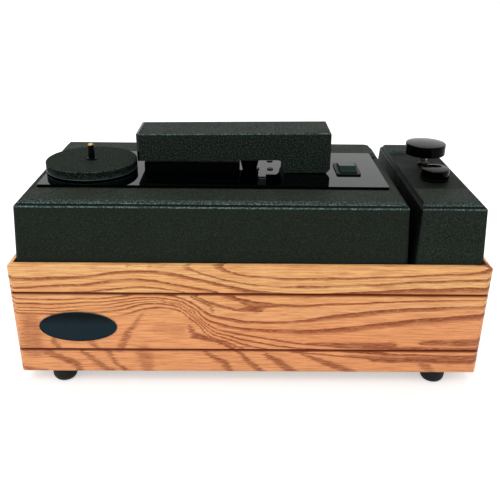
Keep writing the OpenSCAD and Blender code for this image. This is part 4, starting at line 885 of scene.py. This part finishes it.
# %% Geometry nodes for the pimples
def make_pimple_nodes():
    tree = bpy.data.node_groups.new("pimple_field", "GeometryNodeTree")
    inputs = [("Radius", "Float"), ("Hole", "Float"), ("Pitch", "Float"), ("Width", "Float"),
              ("Height", "Float"), ("Seed", "Int"), ("Centre", "Vector"), ("Finish", "Material")]
    for title, kind in inputs:
        tree.interface.new_socket(title, in_out="INPUT", socket_type="NodeSocket" + kind)
    tree.interface.new_socket("Pimples", in_out="OUTPUT", socket_type="NodeSocketGeometry")
    r = Recipe(tree)
    source = tree.nodes.new("NodeGroupInput").outputs
    result = tree.nodes.new("NodeGroupOutput").inputs

    width = r.math("MULTIPLY", source["Radius"], 2.0)
    count = r.math("ADD", r.math("DIVIDE", width, source["Pitch"]), 1.0)
    grid = r.add("GeometryNodeMeshGrid", {
        "Size X": width, "Size Y": width, "Vertices X": count, "Vertices Y": count,
    })
    reach = r.vector("LENGTH", r.add("GeometryNodeInputPosition"))
    beyond = r.math("GREATER_THAN", reach, source["Radius"])
    outside = r.math("MAXIMUM", beyond, r.math("LESS_THAN", reach, source["Hole"]))
    ring = r.add("GeometryNodeDeleteGeometry", {"Geometry": grid, "Selection": outside})

    base = r.math("MULTIPLY", source["Width"], 0.5)
    crown = r.math("MULTIPLY", source["Width"], 0.3)
    frustum = r.add("GeometryNodeMeshCone", {
        "Vertices": 6, "Radius Top": crown, "Radius Bottom": base, "Depth": source["Height"],
    })
    # Inputs 2, 3 and 8 are the least and the greatest number and the seed
    limits = {2: 0.85, 3: 1.12, 8: source["Seed"]}
    size = r.add("FunctionNodeRandomValue", limits, output=1, data_type="FLOAT")
    spread = r.add("GeometryNodeInstanceOnPoints", {
        "Points": ring, "Instance": frustum, "Scale": size,
    })
    placed = r.add("GeometryNodeTransform", {"Geometry": spread, "Translation": source["Centre"]})
    solid = r.add("GeometryNodeRealizeInstances", {"Geometry": placed})
    dressed = {"Geometry": solid, "Material": source["Finish"]}
    r.feed(result["Pimples"], r.add("GeometryNodeSetMaterial", dressed))
    return tree


# %% Take the pimples from the nodes
def piece_from_nodes(name, tree, **values):
    piece = bpy.data.objects.new(name, bpy.data.meshes.new(name + "_start"))
    bpy.context.scene.collection.objects.link(piece)
    modifier = piece.modifiers.new(name, "NODES")
    modifier.node_group = tree
    for item in tree.interface.items_tree:
        if item.in_out == "INPUT":
            modifier[item.identifier] = values[item.name]
    view = bpy.context.evaluated_depsgraph_get()
    mesh = bpy.data.meshes.new_from_object(piece.evaluated_get(view), depsgraph=view)
    piece.modifiers.clear()
    mesh.materials.clear()
    mesh.materials.append(values["Finish"])
    mesh.polygons.foreach_set("material_index", [0] * len(mesh.polygons))
    piece.data = mesh
    print(name, "has", len(mesh.polygons), "faces and", len(mesh.materials), "finish")
    return piece


mat_high = point_in_mm(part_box("platter_mat")[1])
PIMPLE_SINK = 0.05
# The pimples are the mat's rubber, coloured much paler as a painted highlight for the light on their
# tops
PIMPLE_LIT_FINISH = grained(
    "pimple_rubber_lit", shown(78, 86, 74), shown(58, 66, 57), 1000.0, 0.00005, 0.6, 0.02,
    painted_glint=0.3, sheen_strength=0.0, top_light=0.0,
)
pimples = piece_from_nodes(
    "mat_pimples", make_pimple_nodes(), Radius=(PLATTER_R - 1.2) * MM, Hole=7.6 * MM,
    Pitch=2.1 * MM, Width=1.25 * MM, Height=0.28 * MM, Seed=7, Finish=PIMPLE_LIT_FINISH,
    Centre=(PLATTER_AXIS.x * MM, PLATTER_AXIS.y * MM, (mat_high.z - PIMPLE_SINK) * MM),
)
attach(pimples, "platter")

# %% [markdown]
# ## Felt behind the bar
# A dim grey reflection shows in the acrylic plate under the arm. It is read as a strip of felt
# inside the arm, above its window. The strip starts as a block, is cut finely, and each point is
# pushed a little by a noise, so that its face looks like pressed wool. Hardly any light gets in
# there, so the strip has a weak glow of its own, which is strongest at its lower edge.

# %% The felt strip
FELT_LOW, FELT_HIGH = Vector((9.0, 35.0, 227.6)), Vector((19.0, 36.05, 239.0))
FELT_FUZZ = 0.16
FELT_SEED = 7


def felt_finish():
    finish, r, shader = new_finish("grey_felt", roughness=0.95, specular=0.1)
    place = object_place(r)
    wool = r.noise(place, 2400.0, 3.0, 0.7)
    grey = r.blend(r.step(wool, 0.3, 0.7), shown(110, 124, 121), shown(152, 164, 160))
    r.feed(shader.inputs["Base Color"], grey)
    # Painted light: a glow of its own, strongest at the lower edge, stands for the light that hardly
    # gets in
    edge = r.step(r.part(place, "Z"), FELT_LOW.z * MM, (FELT_LOW.z + 1.8) * MM, 0.9, 0.15)
    r.feed(shader.inputs["Emission Color"], r.blend(edge, (0, 0, 0, 1), grey))
    shader.inputs["Emission Strength"].default_value = 1.0
    r.feed(shader.inputs["Normal"], r.bump(wool, 0.8, 0.0003))
    return finish


def make_felt():
    mesh = bmesh.new()
    bmesh.ops.create_cube(mesh, size=1.0)
    for vertex in mesh.verts:
        share = vertex.co + Vector((0.5, 0.5, 0.5))
        vertex.co = Vector(FELT_LOW[i] + share[i] * (FELT_HIGH[i] - FELT_LOW[i]) for i in range(3))
    bmesh.ops.subdivide_edges(mesh, edges=mesh.edges, cuts=15, use_grid_fill=True)
    # Without a seed of its own this noise starts from the clock
    noise.seed_set(FELT_SEED)
    for vertex in mesh.verts:
        vertex.co = (vertex.co + noise.noise_vector(vertex.co * 1.7) * FELT_FUZZ) * MM
    for face in mesh.faces:
        face.smooth = True
    return finished_piece("felt_strip", mesh, felt_finish())


felt = make_felt()
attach(felt, "arm")

# %% [markdown]
# ## The pump's spring
# Under the piston stands a return spring, which closes up when the knob is pressed; here it
# stays as wound, at rest.

# %% Wind the spring
SPRING_TURNS = 8
SPRING_RADIUS = 5.2
STEPS_PER_TURN = 40
WIRE_SIDES = 8


def spring_height(turn, wire, rise):
    """Height of the wire's middle after so many turns: one closed turn at each end."""
    closed = 2.1 * wire
    open_pitch = (rise - 2 * closed) / (SPRING_TURNS - 2)
    if turn < 1:
        return closed * turn
    if turn > SPRING_TURNS - 1:
        return rise - closed * (SPRING_TURNS - turn)
    return closed + open_pitch * (turn - 1)


def wind_spring(low, high):
    mesh = bmesh.new()
    wire = (high.x - low.x) / 2 - SPRING_RADIUS
    middle = (low + high) / 2
    foot = low.z + wire
    rings = []
    for step in range(SPRING_TURNS * STEPS_PER_TURN + 1):
        turn = step / STEPS_PER_TURN
        outwards = Vector((math.cos(math.tau * turn), math.sin(math.tau * turn), 0))
        height = foot + spring_height(turn, wire, high.z - low.z - 2 * wire)
        centre = Vector((middle.x, middle.y, height)) + outwards * SPRING_RADIUS
        ring = []
        for side in range(WIRE_SIDES):
            a = math.tau * side / WIRE_SIDES
            around = outwards * math.cos(a) + Vector((0, 0, math.sin(a)))
            ring.append(mesh.verts.new((centre + wire * around) * MM))
        rings.append(ring)
    for ring, next_ring in zip(rings, rings[1:]):
        for i in range(WIRE_SIDES):
            j = (i + 1) % WIRE_SIDES
            mesh.faces.new((ring[i], next_ring[i], next_ring[j], ring[j])).smooth = True
    mesh.faces.new(rings[0])
    mesh.faces.new(rings[-1])
    bmesh.ops.recalc_face_normals(mesh, faces=mesh.faces)
    return finished_piece("return_spring", mesh, STEEL)


spring_low, spring_high = map(point_in_mm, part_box("pump_spring"))
spring = wind_spring(spring_low, spring_high)
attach(spring, "case")
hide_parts("pump_spring")
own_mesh(spring)

# %% [markdown]
# ## Floor and light
# The machine stands on a plain pale floor that runs into a white surround. The world is plain
# white wherever a camera ray or a mirror ray meets it, and gives a softer grey light to matte
# surfaces. The floor adds a little of its own light to camera rays, so that it reads as white
# while the shadow under the case stays.

# %% Floor and surround
AMBIENT = 0.62
FLOOR_ALBEDO = 0.86
FLOOR_REACH = 9.0


def white_where_seen(r):
    path = r.add("ShaderNodeLightPath")
    rays = path.node.outputs
    seen = r.math("MAXIMUM", rays["Is Camera Ray"], rays["Is Glossy Ray"])
    return r.math("MAXIMUM", seen, rays["Is Transmission Ray"])


def make_floor():
    mesh = bpy.data.meshes.new("floor")
    signs = ((-1, -1), (1, -1), (1, 1), (-1, 1))
    corners = [(x * FLOOR_REACH, y * FLOOR_REACH, 0) for x, y in signs]
    mesh.from_pydata(corners, [], [(0, 1, 2, 3)])
    floor = bpy.data.objects.new("floor", mesh)
    bpy.context.scene.collection.objects.link(floor)
    finish, r, shader = new_finish("floor_paper", roughness=0.9, specular=0.1)
    shader.inputs["Base Color"].default_value = (FLOOR_ALBEDO, FLOOR_ALBEDO, FLOOR_ALBEDO, 1)
    strength = r.math("MULTIPLY", white_where_seen(r), 1.0 - AMBIENT * FLOOR_ALBEDO)
    glow = r.add("ShaderNodeEmission", {"Strength": strength})
    both = r.add("ShaderNodeAddShader", {0: shader.outputs[0], 1: glow})
    r.feed(finish.node_tree.nodes["Material Output"].inputs["Surface"], both)
    mesh.materials.append(finish)


def make_world():
    world = bpy.data.worlds.new("white_surround")
    bpy.context.scene.world = world
    world.use_nodes = True
    r = Recipe(world.node_tree)
    background = world.node_tree.nodes["Background"]
    r.feed(background.inputs["Color"], (1, 1, 1, 1))
    seen = white_where_seen(r)
    extra = r.math("MULTIPLY", seen, 1.0 - AMBIENT)
    r.feed(background.inputs["Strength"], r.math("ADD", AMBIENT, extra))


make_floor()
make_world()


# %% Lamps
def softbox(name, place, aim, width, height, watts):
    data = bpy.data.lights.new(name, "AREA")
    data.shape = "RECTANGLE"
    data.size, data.size_y = width, height
    data.energy = watts
    lamp = bpy.data.objects.new(name, data)
    bpy.context.scene.collection.objects.link(lamp)
    turn = (Vector(aim) - Vector(place)).to_track_quat("-Z", "Y").to_matrix().to_4x4()
    lamp.matrix_world = Matrix.Translation(place) @ turn


softbox("key", (-0.7, -1.3, 1.7), (0, 0, 0.12), 1.2, 1.0, 14)
softbox("top", (0.1, 0.6, 1.9), (0, 0, 0.15), 1.6, 1.0, 10)

scene = bpy.context.scene
scene.view_settings.view_transform = "Standard"
